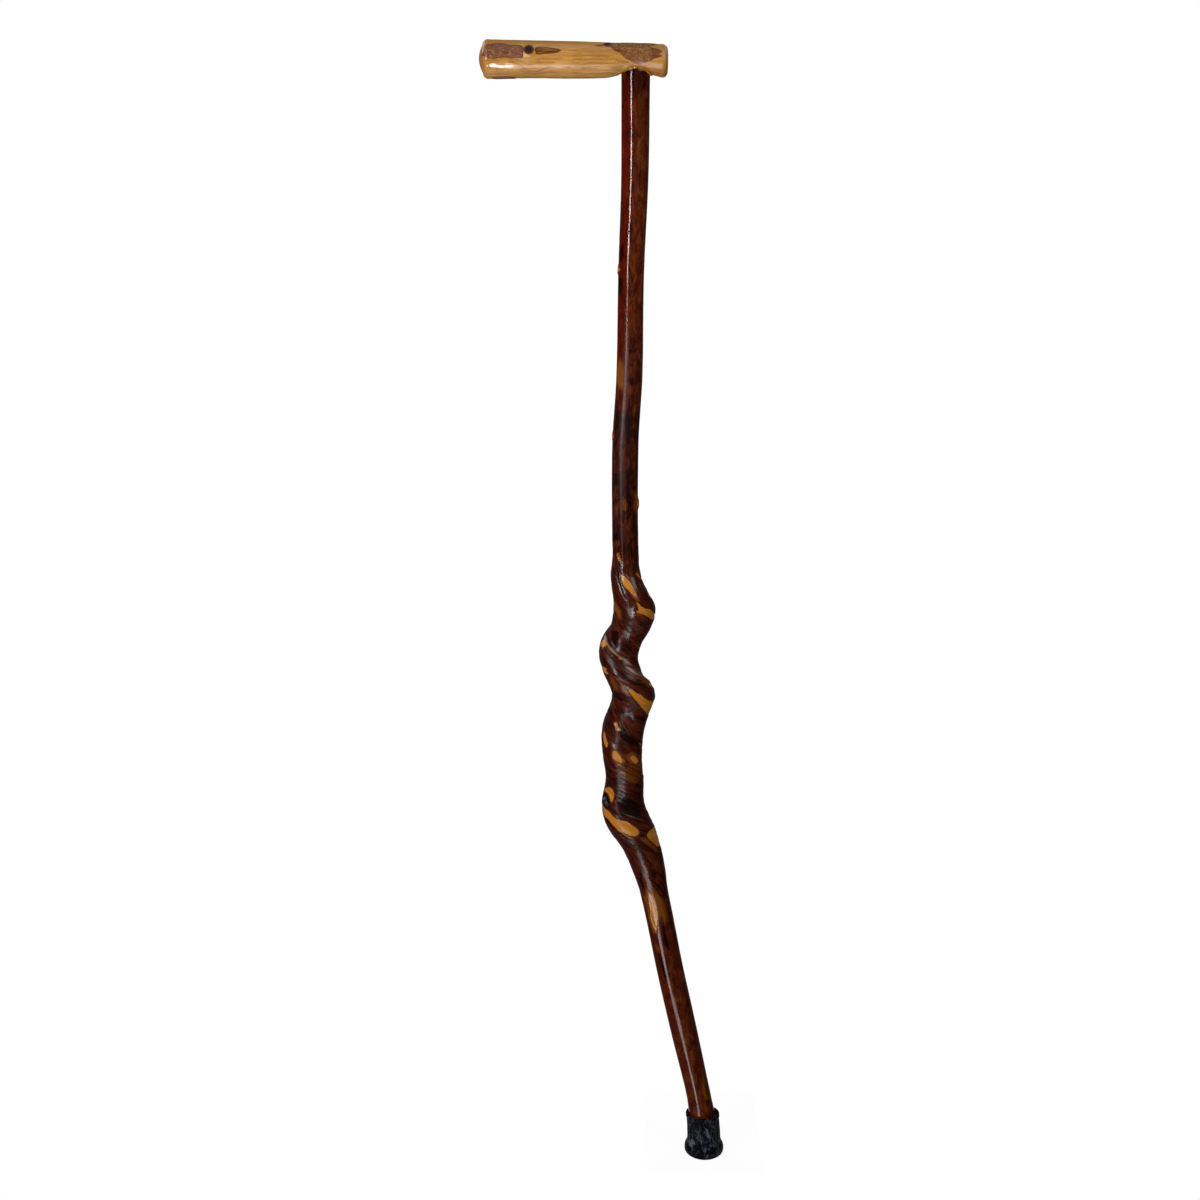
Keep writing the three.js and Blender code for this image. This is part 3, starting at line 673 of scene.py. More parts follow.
def stainedBark():
    f = Finish("varnished_bark", {"Roughness": 0.2, "IOR": 1.4})
    fibre = f.layer("grain", "Vector")
    streak = f.cloud(fibre, (0.6, 0.6, 0.06), 4, 0.55, 0.8)
    fine = f.cloud(fibre, (2.4, 2.4, 0.5), 4, 0.65)
    blotch = f.cloud(fibre, (0.17, 0.17, 0.09), 4, 0.6, 0.8)
    crumb = f.cloud(fibre, (0.5, 0.5, 0.35), 5, 0.7, 0.4)
    specks = f.cloud(fibre, (3.2, 3.2, 1.6), 2)
    ripple = f.cloud(fibre, (0.8, 0.8, 0.8), 2)
    pits = f.cells(fibre, (0.55, 0.55, 0.3))
    ragged = f.cloud(fibre, (0.7, 0.7, 0.3), 4, 0.65)
    # the bark's tone, darker at the knots and dark bark, and darker in the creases, the seam's
    # groove and the hollow, where the darkening is painted shade
    tone = (0.55 * (streak - 0.5) + 1.2 * (blotch - 0.5) + 0.35 * (fine - 0.5)
            + 0.35 * (crumb - 0.5))
    tone = f.layer("tone") + f.layer("contrast") * tone
    # painted shade in the creases, groove and hollow, and dark bark elsewhere, pulled towards a
    # near-black tone
    darkBarkAndShade = f.layer("dark").ease(0, 0.3) * (f.layer("dark") + 3 * (crumb - 0.5)).ease(0.1, 0.7)
    darkBarkAndShadeTone = 0.09 + 0.7 * (crumb - 0.5) + 0.5 * (streak - 0.5)
    tone = tone + 0.92 * darkBarkAndShade * (darkBarkAndShadeTone - tone)
    tone = tone - 0.12 * pits.ease(0.3, 0.12) + 0.1 * specks.ease(0.6, 0.72)
    bark = f.ramp(tone.clamped(), stick["barkColours"])
    redBark = f.ramp(tone.clamped(), stick["redColours"])
    bark = f.mixed(bark, redBark, f.layer("redness") * blotch.ease(0.3, 0.55, 0.5, 1))
    amber = f.layer("amber") + (streak - 0.5) + 0.6 * (crumb - 0.5)
    amber = f.layer("amber").ease(0, 0.2) * amber.ease(0.1, 0.8)
    bark = f.mixed(bark, stick["amberColour"], 0.9 * amber)
    # the peeled patches, with a dark rim of bark round each
    edge = f.layer("peeled") + 0.16 * (ragged - 0.5)
    wood = f.ramp(0.5 * fine + 0.5 * streak, stick["woodColours"])
    wood = f.mixed(stick["dullWood"], wood, f.layer("peeledTone").ease(0.4, 1))
    wood = f.mixed(wood, stick["woodEdge"], 0.7 * edge.ease(0.72, 0.54))
    rim = edge.ease(0.40, 0.49) * edge.ease(0.56, 0.5)
    colour = f.mixed(bark, stick["rimColour"], 0.75 * rim)
    colour = f.mixed(colour, wood, edge.ease(0.49, 0.535))
    # the lip's pale line, partly a painted highlight
    colour = f.mixed(colour, stick["lipGlintColour"], f.layer("lip") * streak.ease(0.15, 0.35))
    f.into("Base Color", colour)
    f.into("Roughness", f.layer("rough") + 0.12 * (fine - 0.5) + 0.08 * f.layer("dark"))
    relief = (0.28 * streak + 0.25 * fine + 0.9 * ripple + 0.3 * crumb
              - 0.5 * pits.ease(0.3, 0.1))
    f.bump(f.layer("ripple") * relief, 0.00011)
    return f


finishPiece(shaft, stainedBark(), "shaft")


# Marks on the handle, as (length from the near end, degrees from the top towards the viewer)
handleMarks = {
    "bark": [
        mark(1, (133.5, 72), (131.5, 62.3), (131.5, 53.2), (128.5, 45), (125, 40.5), (120, 38.2),
             (116.5, 39.8), (113.5, 46.5), (107, 45), (104.5, 50.2), (103, 59.3), (103.5, 69.8),
             (103.5, 80.2), (104.5, 87.8), (109.5, 87), (113.5, 86.2), (118, 86.2), (122, 90),
             (126.5, 90.8), (129, 86.2), (131.5, 82.5), (133.5, 78)),
        mark(0.3, (40.5, 26.2), (39, 18.8), (27.5, 4.5), (13, 5.2), (6.5, 21), (14.5, 33),
             (11, 46.5), (5.5, 54.8), (5, 63.8), (8, 71.3), (4.5, 75.8), (9, 83.2), (12.5, 91.5),
             (16.5, 98.3), (20.5, 95.2), (24.5, 90.8), (28.5, 84), (31, 81), (31, 70.5),
             (33.5, 60), (37.5, 57.7), (39.5, 50.2), (41, 39)),
        mark(0.8, (128, 165.8), (123.5, 153.8), (117, 152.2), (110, 162), (109.5, 181.5),
             (117.5, 181.5), (124.5, 180.8)),
        mark(0.5, (96, 238), (88, 230), (78, 236), (70, 250), (74, 262), (84, 268), (93, 258)),
        mark(0.3, (30, 275), (22, 262), (12, 270), (9, 290), (16, 305), (27, 298)),
    ],
    "knot": [
        mark(1, (103, 61.5), (102, 50.2), (99.5, 44.2), (97, 49.5), (96, 60.8), (97, 72),
             (99.5, 75.8), (102, 72)),
        mark(0.9, (46.5, 35.2), (45, 23.2), (42.5, 19.5), (40.5, 30.7), (41.5, 41.3),
             (44.5, 43.5)),
        mark(0.8, (57, 300), (54, 292), (50, 298), (51, 308), (55, 308)),
    ],
    "stain": [
        mark(1, (95, 62.3), (94.5, 52.5), (91, 49.5), (86, 51.8), (80, 57), (76, 62.3),
             (79.5, 69.8), (83.5, 72.7), (88, 74.2), (91.5, 76.5), (94, 75.8)),
        mark(0.7, (74.5, 121.5), (72.5, 119.3), (70, 122.2), (72.5, 125.3)),
        mark(0.8, (54, 42), (50, 33), (46, 32.2), (46.5, 42), (51, 43.5)),
        mark(0.5, (35.5, 91.5), (29.5, 94.5), (24.5, 96.8), (26.5, 100.5), (31.5, 98.3)),
    ],
    "smear": [
        mark(0.75, (29, 117.8), (26, 107.3), (24.5, 95.2), (20.5, 102), (16, 112.5), (12.5, 125.3),
             (11, 143.2), (8.5, 180), (12.5, 181.5), (14, 141), (20, 123), (25, 121.5)),
        mark(0.4, (40, 119.3), (37.5, 115.5), (34, 117.8), (31.5, 125.3), (34.5, 133.5),
             (37.5, 127.5)),
        mark(0.45, (0, 104), (4, 112), (9, 120), (12, 132), (9, 150), (0, 155)),
    ],
    "line": [
        mark(0.8, (113.5, 87.8), (110, 91.5), (105.5, 96), (103, 102), (100.5, 108.7), (97, 107.3),
             (93.5, 103.5), (87.5, 100.5), (81.5, 101.2), width=0.5),
        mark(1, (113, 99), (109, 102.8), (105.5, 110.2), (103, 119.3), (100.5, 128.2), (97, 132.8),
             (92.5, 129.8), (89, 120.8), (85, 116.2), (80.5, 117), width=0.55),
        mark(0.8, (105.5, 125.3), (102, 136.5), (97.5, 142.5), (91.5, 138), (85.5, 132.8),
             (79.5, 133.5), (73.5, 131.2), width=0.5),
        mark(0.6, (130, 141), (124, 143.2), (118, 145.5), (112.5, 153), (106, 156), width=0.6),
        mark(0.6, (93.5, 90.8), (88, 87.8), (82, 90), (76, 86.2), width=0.5),
        mark(0.7, (67.5, 78.8), (62.5, 80.2), (58.5, 77.2), (52.5, 80.2), (47.5, 78.8),
             (42.5, 82.5), width=0.45),
        mark(0.8, (67.5, 102), (61.5, 104.2), (55.5, 101.2), (47.5, 102.8), (42, 101.2),
             (36.5, 103.5), width=0.5),
        mark(0.6, (65.5, 111.8), (59.5, 114.8), (53.5, 111.8), (47.5, 114.8), width=0.45),
        mark(1, (40, 119.3), (36.5, 116.2), (33, 114.8), width=0.7),
        mark(0.6, (67.5, 90), (60, 91.5), (53, 88.5), (45, 90.8), (39, 88.5), width=0.4),
        mark(0.7, (67.5, 135.8), (58.5, 139.5), (49.5, 138.8), (40.5, 132), (34, 127.5),
             width=0.6),
        mark(1, (37.5, 91.5), (34, 93.8), (29.5, 98.3), width=0.6),
        mark(0.8, (36, 98.3), (31.5, 100.5), (27, 103.5), width=0.5),
    ],
    "burn": [
        mark(1, (40.5, 42), (38, 57), (34, 63), (31.5, 74.2), (30, 84), (25.5, 92.2), (20.5, 98.3),
             (16.5, 96), width=2),
        mark(0.9, (40, 21), (31, 12), (20, 3.7), (11.5, 18), width=1.3),
        mark(0.85, (14.5, 35.2), (9.5, 45), (4.5, 55.5), (5.5, 63), (9, 69), (4.5, 73.5),
             (7, 79.5), (10.5, 86.2), (12.5, 83.2), (11.5, 69), (12.5, 54)),
        mark(0.7, (31.5, 72.7), (26.5, 75.8), (24.5, 87), (28, 86.2)),
        mark(0.9, (132.5, 73.5), (130.5, 58.5), (127, 47.2), (120, 40.5), (116, 43.5), (113, 47.2),
             (107, 47.2), (104.5, 54), (103.5, 63), width=0.8),
        mark(0.8, (132.5, 78), (129, 87), (125, 90), (118, 87), (112, 87), (108, 86.2),
             (104.5, 85.5), (103.5, 75.8), width=0.7),
        mark(0.7, (117, 42), (114.5, 53.2), (112, 51), width=0.7),
    ],
    # painted highlights: a pale halo below the knot and short pale glints on the varnish
    "pale": [
        mark(1, (104, 68.2), (102, 72.7), (100.5, 78.8), (98, 81.7), (100, 85.5), (103, 84.8),
             (104.5, 75.8)),
        mark(0.35, (59.5, 81.7), (55.5, 83.2), width=0.9),
        mark(0.3, (47.5, 55.5), (44.5, 54), width=0.9),
        mark(0.5, (105.5, 91.5), (100.5, 97.5), width=1.1),
        mark(0.25, (42.5, 93), (39.5, 94.5), width=0.8),
    ],
}

grip = {
    "sides": 96, "step": 1.1,
    "length": 136, "endReach": 23,
    "buttDiameter": 27.2, "gripDiameter": 25.8, "headDiameter": 23.4,
    "depthShare": 1.12, "rise": 1.3,
    "buttDome": 2.8, "buttDomeShare": 0.95, "buttRounding": 4, "headRounding": 4.2,
    "markRadius": 13, "sideStarts": (6, 11),
    # relief: mm along, waves round, seed and height, on the wood and on the bark
    "waves": [(26, 2.2, 5, 0.35), (9, 5, 6, 0.12)], "barkWave": (1.3, 9, 8, 0.12),
    "barkHeight": 0.45, "knotHeight": 0.5,
    # where each mark sets in, in mm inside its edge
    "barkEdge": (-0.4, 0.7), "knotEdge": (-1.5, 1), "knotHollow": (1, 2.6),
    "softEdges": {"smear": (-1.2, 1.2), "line": (-0.8, 0.2), "burn": (-0.9, 0.6),
                  "pale": (-1, 0.8)},
    # the underside filed up round the stick, all round it and more to its sides
    "seatLift": 2.1, "seatFade": (9, 14), "sideLift": 1.7, "sideFade": (10, 23),
    "undersideStarts": (-0.2, 0.3),
    "buttSawn": (1, 6.5), "headSawn": (0.2, 3),  # mm from each end
    # where the butt is polished: degrees, mm from its end and half height
    "glossStarts": (58, 72), "glossEnds": (120, 140), "glossAlong": (20, 29), "glossHalf": (8, 12),
    "layers": ("bark", "redness", "knot", "stain", "endGrain",
               "smear", "line", "burn", "pale", "gloss"),
    "woodColours": [(0.3, "#8a5a20"), (0.43, "#ab7833"), (0.54, "#bb863d"), (0.64, "#c89654"),
                    (0.76, "#d6ae7c")],
    "barkColours": [(0.2, "#4a220b"), (0.4, "#734218"), (0.58, "#8c5c29"), (0.72, "#ad8048")],
    "redColours": [(0.2, "#4d2414"), (0.4, "#70412a"), (0.58, "#855439"), (0.75, "#a27a58")],
    "fleckColour": "#90571c", "fleckAndSheenColour": "#dcae70", "lineColour": "#8a5217",
    "paintedHighlightColour": "#debb8a", "sawnColour": "#94501c", "ringColour": "#5e2d0e",
    "smearColour": "#9c5d08", "stainColours": ("#5f300d", "#9a6124"), "stainEdge": "#4e220a",
    "rimColour": "#431a08", "burnColours": ("#4a1f0a", "#7c4418"),
    "knotColours": ("#6b300d", "#250a06"),
}
handleMiddle = handleUnderside + grip["headDiameter"] / 2
handleHalf = smoothCurve([
    (0, grip["headDiameter"] / 2), (grip["endReach"], grip["headDiameter"] / 2),
    (0.5 * grip["length"], grip["gripDiameter"] / 2),
    (0.72 * grip["length"], grip["gripDiameter"] / 2), (grip["length"], grip["buttDiameter"] / 2),
])


# (half height, length) pairs from the near end's middle to the far end's middle
def handleProfile():
    headHalf, start = handleHalf(0), grip["headRounding"]
    points = [(headHalf * share, 0) for share in (0, 0.25, 0.5)]
    points += arc(headHalf - start, start, start, -pi / 2, 8)
    end = grip["length"] - grip["buttDome"] - grip["buttRounding"]
    count = ceil((end - start) / grip["step"])
    lengths = [blendTo(start, end, i / count) for i in range(1, count)]
    points += [(handleHalf(length), length) for length in lengths]
    faceHalf = handleHalf(grip["length"]) - grip["buttRounding"]
    points += arc(faceHalf, end, grip["buttRounding"], 0, 7)
    for share in (0.75, 0.5, 0.25, 0):
        dome = grip["buttDome"] * share ** 2 * grip["buttDomeShare"]
        points.append((faceHalf * share, grip["length"] - dome))
    return points


handlePoints = handleProfile()
handleMarkSets = {kind: Marks(marks) for kind, marks in handleMarks.items()}


# How far the underside is filed up, at a place from the joint's axis
def seatLift(along, across):
    distance = hypot(along, across)
    share = (along / distance) ** 2 if distance else 0
    side = grip["sideLift"] * share * (1 - easeIn(distance, *grip["sideFade"]))
    return side + grip["seatLift"] * (1 - easeIn(distance, *grip["seatFade"]))


def handlePoint(turn, row):
    half, length = handlePoints[row]
    angle = 2 * pi * turn
    azimuth = degrees(angle)

    def wave(along, around, seed):
        return waver(length / along, around * cos(angle), around * sin(angle), seed)

    found = {kind: marks.at(length, azimuth, grip["markRadius"])
             for kind, marks in handleMarkSets.items()}
    bark, redness = found["bark"]
    knot, _ = found["knot"]
    onSide = easeIn(half, *grip["sideStarts"])
    radius = half
    for *waves, height in grip["waves"]:
        radius += onSide * height * wave(*waves)
    radius += grip["barkHeight"] * easeIn(bark, *grip["barkEdge"])
    *waves, height = grip["barkWave"]
    radius += height * easeIn(bark, 0, 1) * wave(*waves)
    knotRise = easeIn(knot, *grip["knotEdge"]) - easeIn(knot, *grip["knotHollow"])
    radius += grip["knotHeight"] * knotRise
    x = grip["endReach"] - cane["upperReach"] - length
    y = -grip["depthShare"] * radius * sin(angle)
    z = handleMiddle + radius * cos(angle) + grip["rise"] * length / grip["length"]
    z += seatLift(x + cane["upperReach"], y) * easeIn(-cos(angle), *grip["undersideStarts"])
    fromButt = grip["length"] - length
    endGrain = 2 - easeIn(fromButt, *grip["buttSawn"]) - easeIn(length, *grip["headSawn"])
    facing = easeIn(azimuth, *grip["glossStarts"]) * (1 - easeIn(azimuth, *grip["glossEnds"]))
    polished = 1 - easeIn(fromButt, *grip["glossAlong"])
    stain, stainTone = found["stain"]
    values = [depthLayer(bark), redness, depthLayer(knot), stainTone * depthLayer(stain), endGrain]
    for kind, edge in grip["softEdges"].items():
        depth, tone = found[kind]
        values.append(tone * easeIn(depth, *edge))
    values.append(facing * easeIn(half, *grip["glossHalf"]) * polished)
    return (x, y, z), values, None


handle = wrapGrid("branch_handle", grip["sides"], len(handlePoints) - 1, handlePoint,
                  grip["layers"])


def peeledBranch():
    f = Finish("peeled_branch", {"Roughness": 0.3, "IOR": 1.45})
    place = f.objectPlace()
    wander = f.cloud(place, (14, 60, 60), 2)
    grain = f.cloud(place, (28, 520, 520), 4, 0.55, 0.5)
    broad = f.cloud(place, (16, 90, 90), 3, 0.5, 0.6)
    flecks = f.cloud(place, (120, 900, 900), 2)
    ragged = f.cloud(place, (110, 420, 420), 4, 0.7)
    fibres = f.cloud(place, (80, 1000, 1000), 3, 0.6, 0.4)
    granules = f.cells(place, (700, 900, 900))
    lumps = f.cloud(place, (260, 380, 380), 4, 0.7)
    edgeNoise = f.cloud(place, (260, 420, 420), 3)
    # year rings round the branch's heart, for its sawn ends
    heart = (0, 0.0015, -(handleMiddle + grip["rise"]) * mm)
    squeeze = (1, 1 / grip["depthShare"], 1)
    centred = f.node("ShaderNodeMapping", {}, {0: place, 1: heart, 3: squeeze})
    yearRings = f.node("ShaderNodeTexWave", {"wave_type": "RINGS", "rings_direction": "X"}, {
        "Vector": centred, "Scale": 150, "Distortion": 5, "Detail": 3, "Detail Scale": 0.7}, "Fac")
    # the peeled wood and what has marked it
    wood = f.ramp(0.45 * grain + 0.4 * broad + 0.15 * wander, grip["woodColours"])
    wood = f.mixed(wood, grip["fleckColour"], 0.6 * flecks.ease(0.58, 0.72))
    # pale fibre flecks, partly standing in for a fine painted sheen on the varnish
    wood = f.mixed(wood, grip["fleckAndSheenColour"], 0.5 * fibres.ease(0.56, 0.7))
    wood = f.mixed(wood, grip["lineColour"], (f.layer("line") * ragged.ease(0.3, 0.55)).clamped())
    # painted highlights from the pale marks
    wood = f.mixed(wood, grip["paintedHighlightColour"], 0.9 * f.layer("pale") * ragged.ease(0.25, 0.55))
    endGrain = f.layer("endGrain")
    wood = f.mixed(wood, grip["sawnColour"], 0.8 * endGrain * broad.ease(0.25, 0.5, 0.55, 1))
    ringed = endGrain.ease(0.6, 1) * yearRings.ease(0.5, 0.95)
    wood = f.mixed(wood, grip["ringColour"], 0.4 * ringed)
    smear = 1.4 * f.layer("smear") * ragged.ease(0.25, 0.55, 0.4, 1)
    wood = f.mixed(wood, grip["smearColour"], smear.clamped())
    stain = f.layer("stain") + 0.22 * (ragged - 0.5)
    stained = f.mixed(*grip["stainColours"], fibres.ease(0.4, 0.6))
    wood = f.mixed(wood, stained, stain.ease(0.42, 0.52))
    wood = f.mixed(wood, grip["stainEdge"], 0.9 * stain.ease(0.4, 0.5) * stain.ease(0.74, 0.56))
    # the bark left on, burnt edges and knots
    barkTone = 0.5 * lumps + 0.5 * granules
    bark = f.mixed(f.ramp(barkTone, grip["barkColours"]), f.ramp(barkTone, grip["redColours"]),
                   f.layer("redness").ease(0.4, 0.9))
    edge = f.layer("bark") + 0.16 * (edgeNoise - 0.5)
    colour = f.mixed(wood, bark, edge.ease(0.48, 0.53))
    colour = f.mixed(colour, grip["rimColour"], 0.8 * edge.ease(0.4, 0.5) * edge.ease(0.64, 0.52))
    burnt = (f.layer("burn") + 1.2 * (ragged - 0.5) + 1.2 * (fibres - 0.5)).ease(0.25, 0.85)
    burntTone = f.mixed(*grip["burnColours"], fibres.ease(0.4, 0.62))
    colour = f.mixed(colour, burntTone, 0.85 * burnt * f.layer("burn").ease(0, 0.3))
    knot = f.layer("knot") + 0.1 * (edgeNoise - 0.5)
    knotRing, knotHeart = grip["knotColours"]
    colour = f.mixed(colour, knotRing, knot.ease(0.28, 0.46))
    colour = f.mixed(colour, knotHeart, knot.ease(0.5, 0.8))
    f.into("Base Color", colour)
    barkMask = edge.ease(0.46, 0.56) * endGrain.ease(0, 0.8, 1, 0.15)
    gloss = f.layer("gloss")
    dull = endGrain - endGrain * gloss
    f.into("Roughness", 0.28 + 0.12 * grain + 0.1 * barkMask + 0.4 * dull - 0.2 * gloss)
    f.bump(0.2 * grain + 0.2 * wander + 0.3 * ragged + barkMask * (lumps - granules), 0.0002)
    return f


finishPiece(handle, peeledBranch(), "handle")


tip = {
    "sides": 216,
    "height": 37, "baseDiameter": 33.6, "baseHeight": 4.5, "baseBand": 12, "edge": 2.2,
    "bodyDiameter": 28.8, "rimDiameter": 28, "lipHeight": 3, "lipProud": 0.5, "lipRounding": 0.8,
    "rimShift": 1.9, "rimTilt": 5.5, "floor": 8, "boreGap": 0.3, "rimGap": -0.05,
    "flutes": 18, "fluteDepth": 0.5, "fluteMargin": 1.5,
    "grooves": [9, 12.2], "grooveWidth": 1.4, "grooveDepth": 1, "grooveEdge": 0.15,
    "scuffHeight": 0.12, "scuffLength": 3, "dustRadius": 15, "dustEdge": (-0.35, 0.35),
    "rubberColours": [(0.3, "#030307"), (0.5, "#07070d"), (0.7, "#0f0f17"), (0.85, "#191922")],
    "dustAndSheenColour": "#5b5e6b",
}
fluteTop = tip["height"] - tip["lipHeight"] - tip["fluteMargin"]


# Rows from the sole's middle out, up and over the rim, and down the bore to its floor
def tipRows():
    base, body, rim = tip["baseDiameter"] / 2, tip["bodyDiameter"] / 2, tip["rimDiameter"] / 2
    lip, lipBottom = rim + tip["lipProud"], tip["height"] - tip["lipHeight"]
    outside = [(0, 0), (4, 0)]
    for radius in tip["grooves"]:
        inner, outer = radius - tip["grooveWidth"] / 2, radius + tip["grooveWidth"] / 2
        edge = tip["grooveEdge"]
        outside += [(inner - edge, 0), (inner, edge), (inner + 0.1, tip["grooveDepth"]),
                    (outer - 0.1, tip["grooveDepth"]), (outer, edge), (outer + edge, 0)]
    outside += arc(base - tip["edge"], tip["edge"], tip["edge"], -pi / 2, 6)
    outside += [(base, blendTo(tip["edge"], tip["baseHeight"], i / 3)) for i in (1, 2, 3)]
    outside += [(blendTo(base, body, easeIn(i / 16, 0, 1)),
                 blendTo(tip["baseHeight"], tip["baseBand"], i / 16)) for i in range(1, 17)]
    rows = [("out", *point) for point in outside]
    rows += [("flute", blendTo(body, rim, i / 40), blendTo(tip["baseBand"], fluteTop, i / 40))
             for i in range(1, 41)]
    outside = [(rim, lipBottom - 0.8), (rim, lipBottom - 0.4), (rim + 0.1, lipBottom - 0.15),
               (lip - 0.1, lipBottom + 0.1), (lip, lipBottom + 0.4), (lip, tip["height"] - 1.3)]
    rounding = tip["lipRounding"]
    outside += arc(lip - rounding, tip["height"] - rounding, rounding, 0, 6)
    rows += [("out", *point) for point in outside]
    # on the rim the radius is a share of the way from the stick out to the lip, and in the bore
    # it says how far a row is sunk
    rows += [("rim", 0.7, tip["height"]), ("rim", 0.25, tip["height"] - 0.1), ("bore", 0.6, 36)]
    rows += [("bore", 0, height) for height in (34, 30, 24, 18, 12, tip["floor"])]
    return rows + [("pole", 0, tip["floor"])]


tipRowList = tipRows()

# Dusty strokes on the tip, with the upright strokes on its right side standing for painted sheen
# along the flute edges, as (height, degrees anticlockwise from +X seen from above)
tipDustAndSheen = Marks([
    mark(1, (27.2, 294), (21.5, 296), (15, 305), (11.5, 314.5), (14.5, 317), (21.5, 314.5),
         (28.2, 313), width=0.55),
    mark(0.8, (33.8, 323), (23.2, 320), (13.8, 322), width=0.5),
    mark(0.9, (33.2, 339.5), (23, 339.5), (11.5, 348.5), width=0.5),
    mark(0.9, (29.5, 273.5), (27.8, 285), (23.5, 290), (18.5, 292), (20.5, 283),
         (25.5, 275.5)),
    mark(0.9, (26.2, 270), (21.2, 280.5), (15.2, 291.5), (11, 304), width=0.7),
    mark(0.8, (31.5, 256.5), (25.8, 255), (17, 256.5), (11, 262), width=0.9),
    mark(1, (10, 193.5), (15.8, 215.5), (17, 232), (13.2, 235), (8.8, 227), (9.2, 214)),
    mark(0.8, (11.8, 262), (11, 276), (7.8, 272.5), (8.2, 264.5)),
    mark(0.5, (30.2, 206.5), (19.2, 206), width=0.7),
    mark(0.6, (20.5, 221), (17.8, 223), width=0.8),
    mark(0.7, (32, 299.5), (26, 300.5), width=0.6),
    mark(0.5, (34.5, 269.5), (29.8, 272), width=0.5),
    mark(0.5, (30.2, 241.5), (24.5, 242), width=0.5),
])


def leaned(x, y, z):
    lean = (z / tip["height"]) ** 2
    return x - lean * tip["rimShift"], y, z - lean * y * sin(radians(tip["rimTilt"]))


def tipPoint(turn, row):
    kind, radius, height = tipRowList[row]
    angle = 2 * pi * turn
    outside = kind in ("out", "flute")
    rim = tip["rimDiameter"] / 2
    flute = 0
    if kind == "flute":
        share = (height - tip["baseBand"]) / (fluteTop - tip["baseBand"])
        ends = easeIn(share, 0.02, 0.1) * (1 - easeIn(share, 0.9, 0.98))
        flute = easeIn(cos(angle * tip["flutes"]), -0.25, 0.25) * ends
        radius -= tip["fluteDepth"] * flute
    if outside:
        if radius > rim and height > 1:
            length = tip["scuffLength"]
            radius += tip["scuffHeight"] * waver(
                radius * cos(angle) / length, radius * sin(angle) / length, height / length, 2)
        point = leaned(radius * cos(angle), radius * sin(angle), height)
    else:
        gap = tip["rimGap"] if kind == "rim" else tip["boreGap"]
        boreHalf = 0 if kind == "pole" else halfThickness(height) + gap
        x, y = lineX(height) + boreHalf * cos(angle), lineY(height) + boreHalf * sin(angle)
        point = (x, y, height - radius)
        if kind == "rim":
            lip = leaned(rim * cos(angle), rim * sin(angle), height)
            inner = (x, y, lip[2] - 0.4)
            point = [blendTo(a, b, radius) for a, b in zip(inner, lip)]
    # strokes of dust, and of painted sheen along the flute edges on the right
    stroke, strokeTone = tipDustAndSheen.at(height, degrees(angle), tip["dustRadius"])
    dust = strokeTone * easeIn(stroke, *tip["dustEdge"]) if outside else 0
    return point, (flute, dust), None


ferrule = wrapGrid("rubber_tip", tip["sides"], len(tipRowList) - 1, tipPoint, ("flute", "dust"))


def wornRubber():
    f = Finish("worn_rubber", {"Roughness": 0.5, "IOR": 1.1})
    place = f.objectPlace()
    dust = f.cloud(place, (170, 170, 75), 5, 0.65, 1.2)
    smear = f.cloud(place, (85, 85, 90), 4, 0.6, 0.5)
    fine = f.cloud(place, (1400, 1400, 700), 3)
    broken = f.cloud(place, (380, 380, 170), 4, 0.7)
    strokes = (dust - 0.5).size().ease(0.035, 0.01)
    dustAndSheenMask = 0.6 * strokes * smear.ease(0.42, 0.6)
    # the marked strokes: dust, and on the right side painted sheen along the flute edges
    dustAndSheenMask = dustAndSheenMask.orMore(f.layer("dust") * broken.ease(0.38, 0.52))
    f.into("Base Color", f.mixed(f.ramp(smear, tip["rubberColours"]), tip["dustAndSheenColour"], dustAndSheenMask))
    f.into("Roughness", 0.38 + 0.2 * dust + 0.2 * dustAndSheenMask)
    f.bump(0.35 * fine + 0.4 * dust + 0.6 * dustAndSheenMask, 0.00025)
    return f


finishPiece(ferrule, wornRubber(), "ferrule")


glue = {
    "sides": 144, "bead": 1.6, "film": 0.4, "gap": 0.3,
    "thinnest": 0.22, "thickSide": 20, "waves": [(2.2, 9, 0.35), (7, 10, 0.15)],
    "colours": [(0.3, "#8a5005"), (0.5, "#b0710c"), (0.7, "#c88f2a")],
}


# Height of the handle's lower skin over a place beside the joint
def skinHeight(x, y):
    length = grip["endReach"] - cane["upperReach"] - x
    half = handleHalf(length)
    share = limit(y / (grip["depthShare"] * half), -1, 1)
    middle = handleMiddle + grip["rise"] * length / grip["length"]
    return middle - half * sqrt(1 - share * share) + seatLift(x + cane["upperReach"], y)


# Rows: what the height counts from, radius, height. The beads hang from the skin, in shares of
# the bead's width, a root lies under it, and set glue stands at a height of its own.
def glueRows():
    thick = glue["film"]
    inner = topHalf + glue["gap"]
    outer = inner + thick
    neck = cane["tenonDiameter"] / 2 + glue["gap"]
    shoulder, cap = cane["shoulderHeight"] + glue["gap"], cane["tenonTop"] + glue["gap"]
    beads = [(0.15, 1.7), (0.35, 1.55), (0.6, 1.3), (0.8, 1.0), (0.95, 0.65), (1.0, 0.3),
             (0.97, 0.0)]
    film = [(outer, shoulder + thick), (neck + thick, shoulder + thick),
            (neck + thick, cap + thick), (0, cap + thick), (0, cap), (neck, cap),
            (neck, shoulder), (inner, shoulder)]
    return ([("root", inner - 0.2, 0)] + [("bead", *bead) for bead in beads]
            + [("skin", outer + 0.5, 0.05), ("skin", outer, 0.3)]
            + [("set", *point) for point in film]
            + [("skin", inner, 0), ("root", inner - 0.2, 0)])


glueRowList = glueRows()


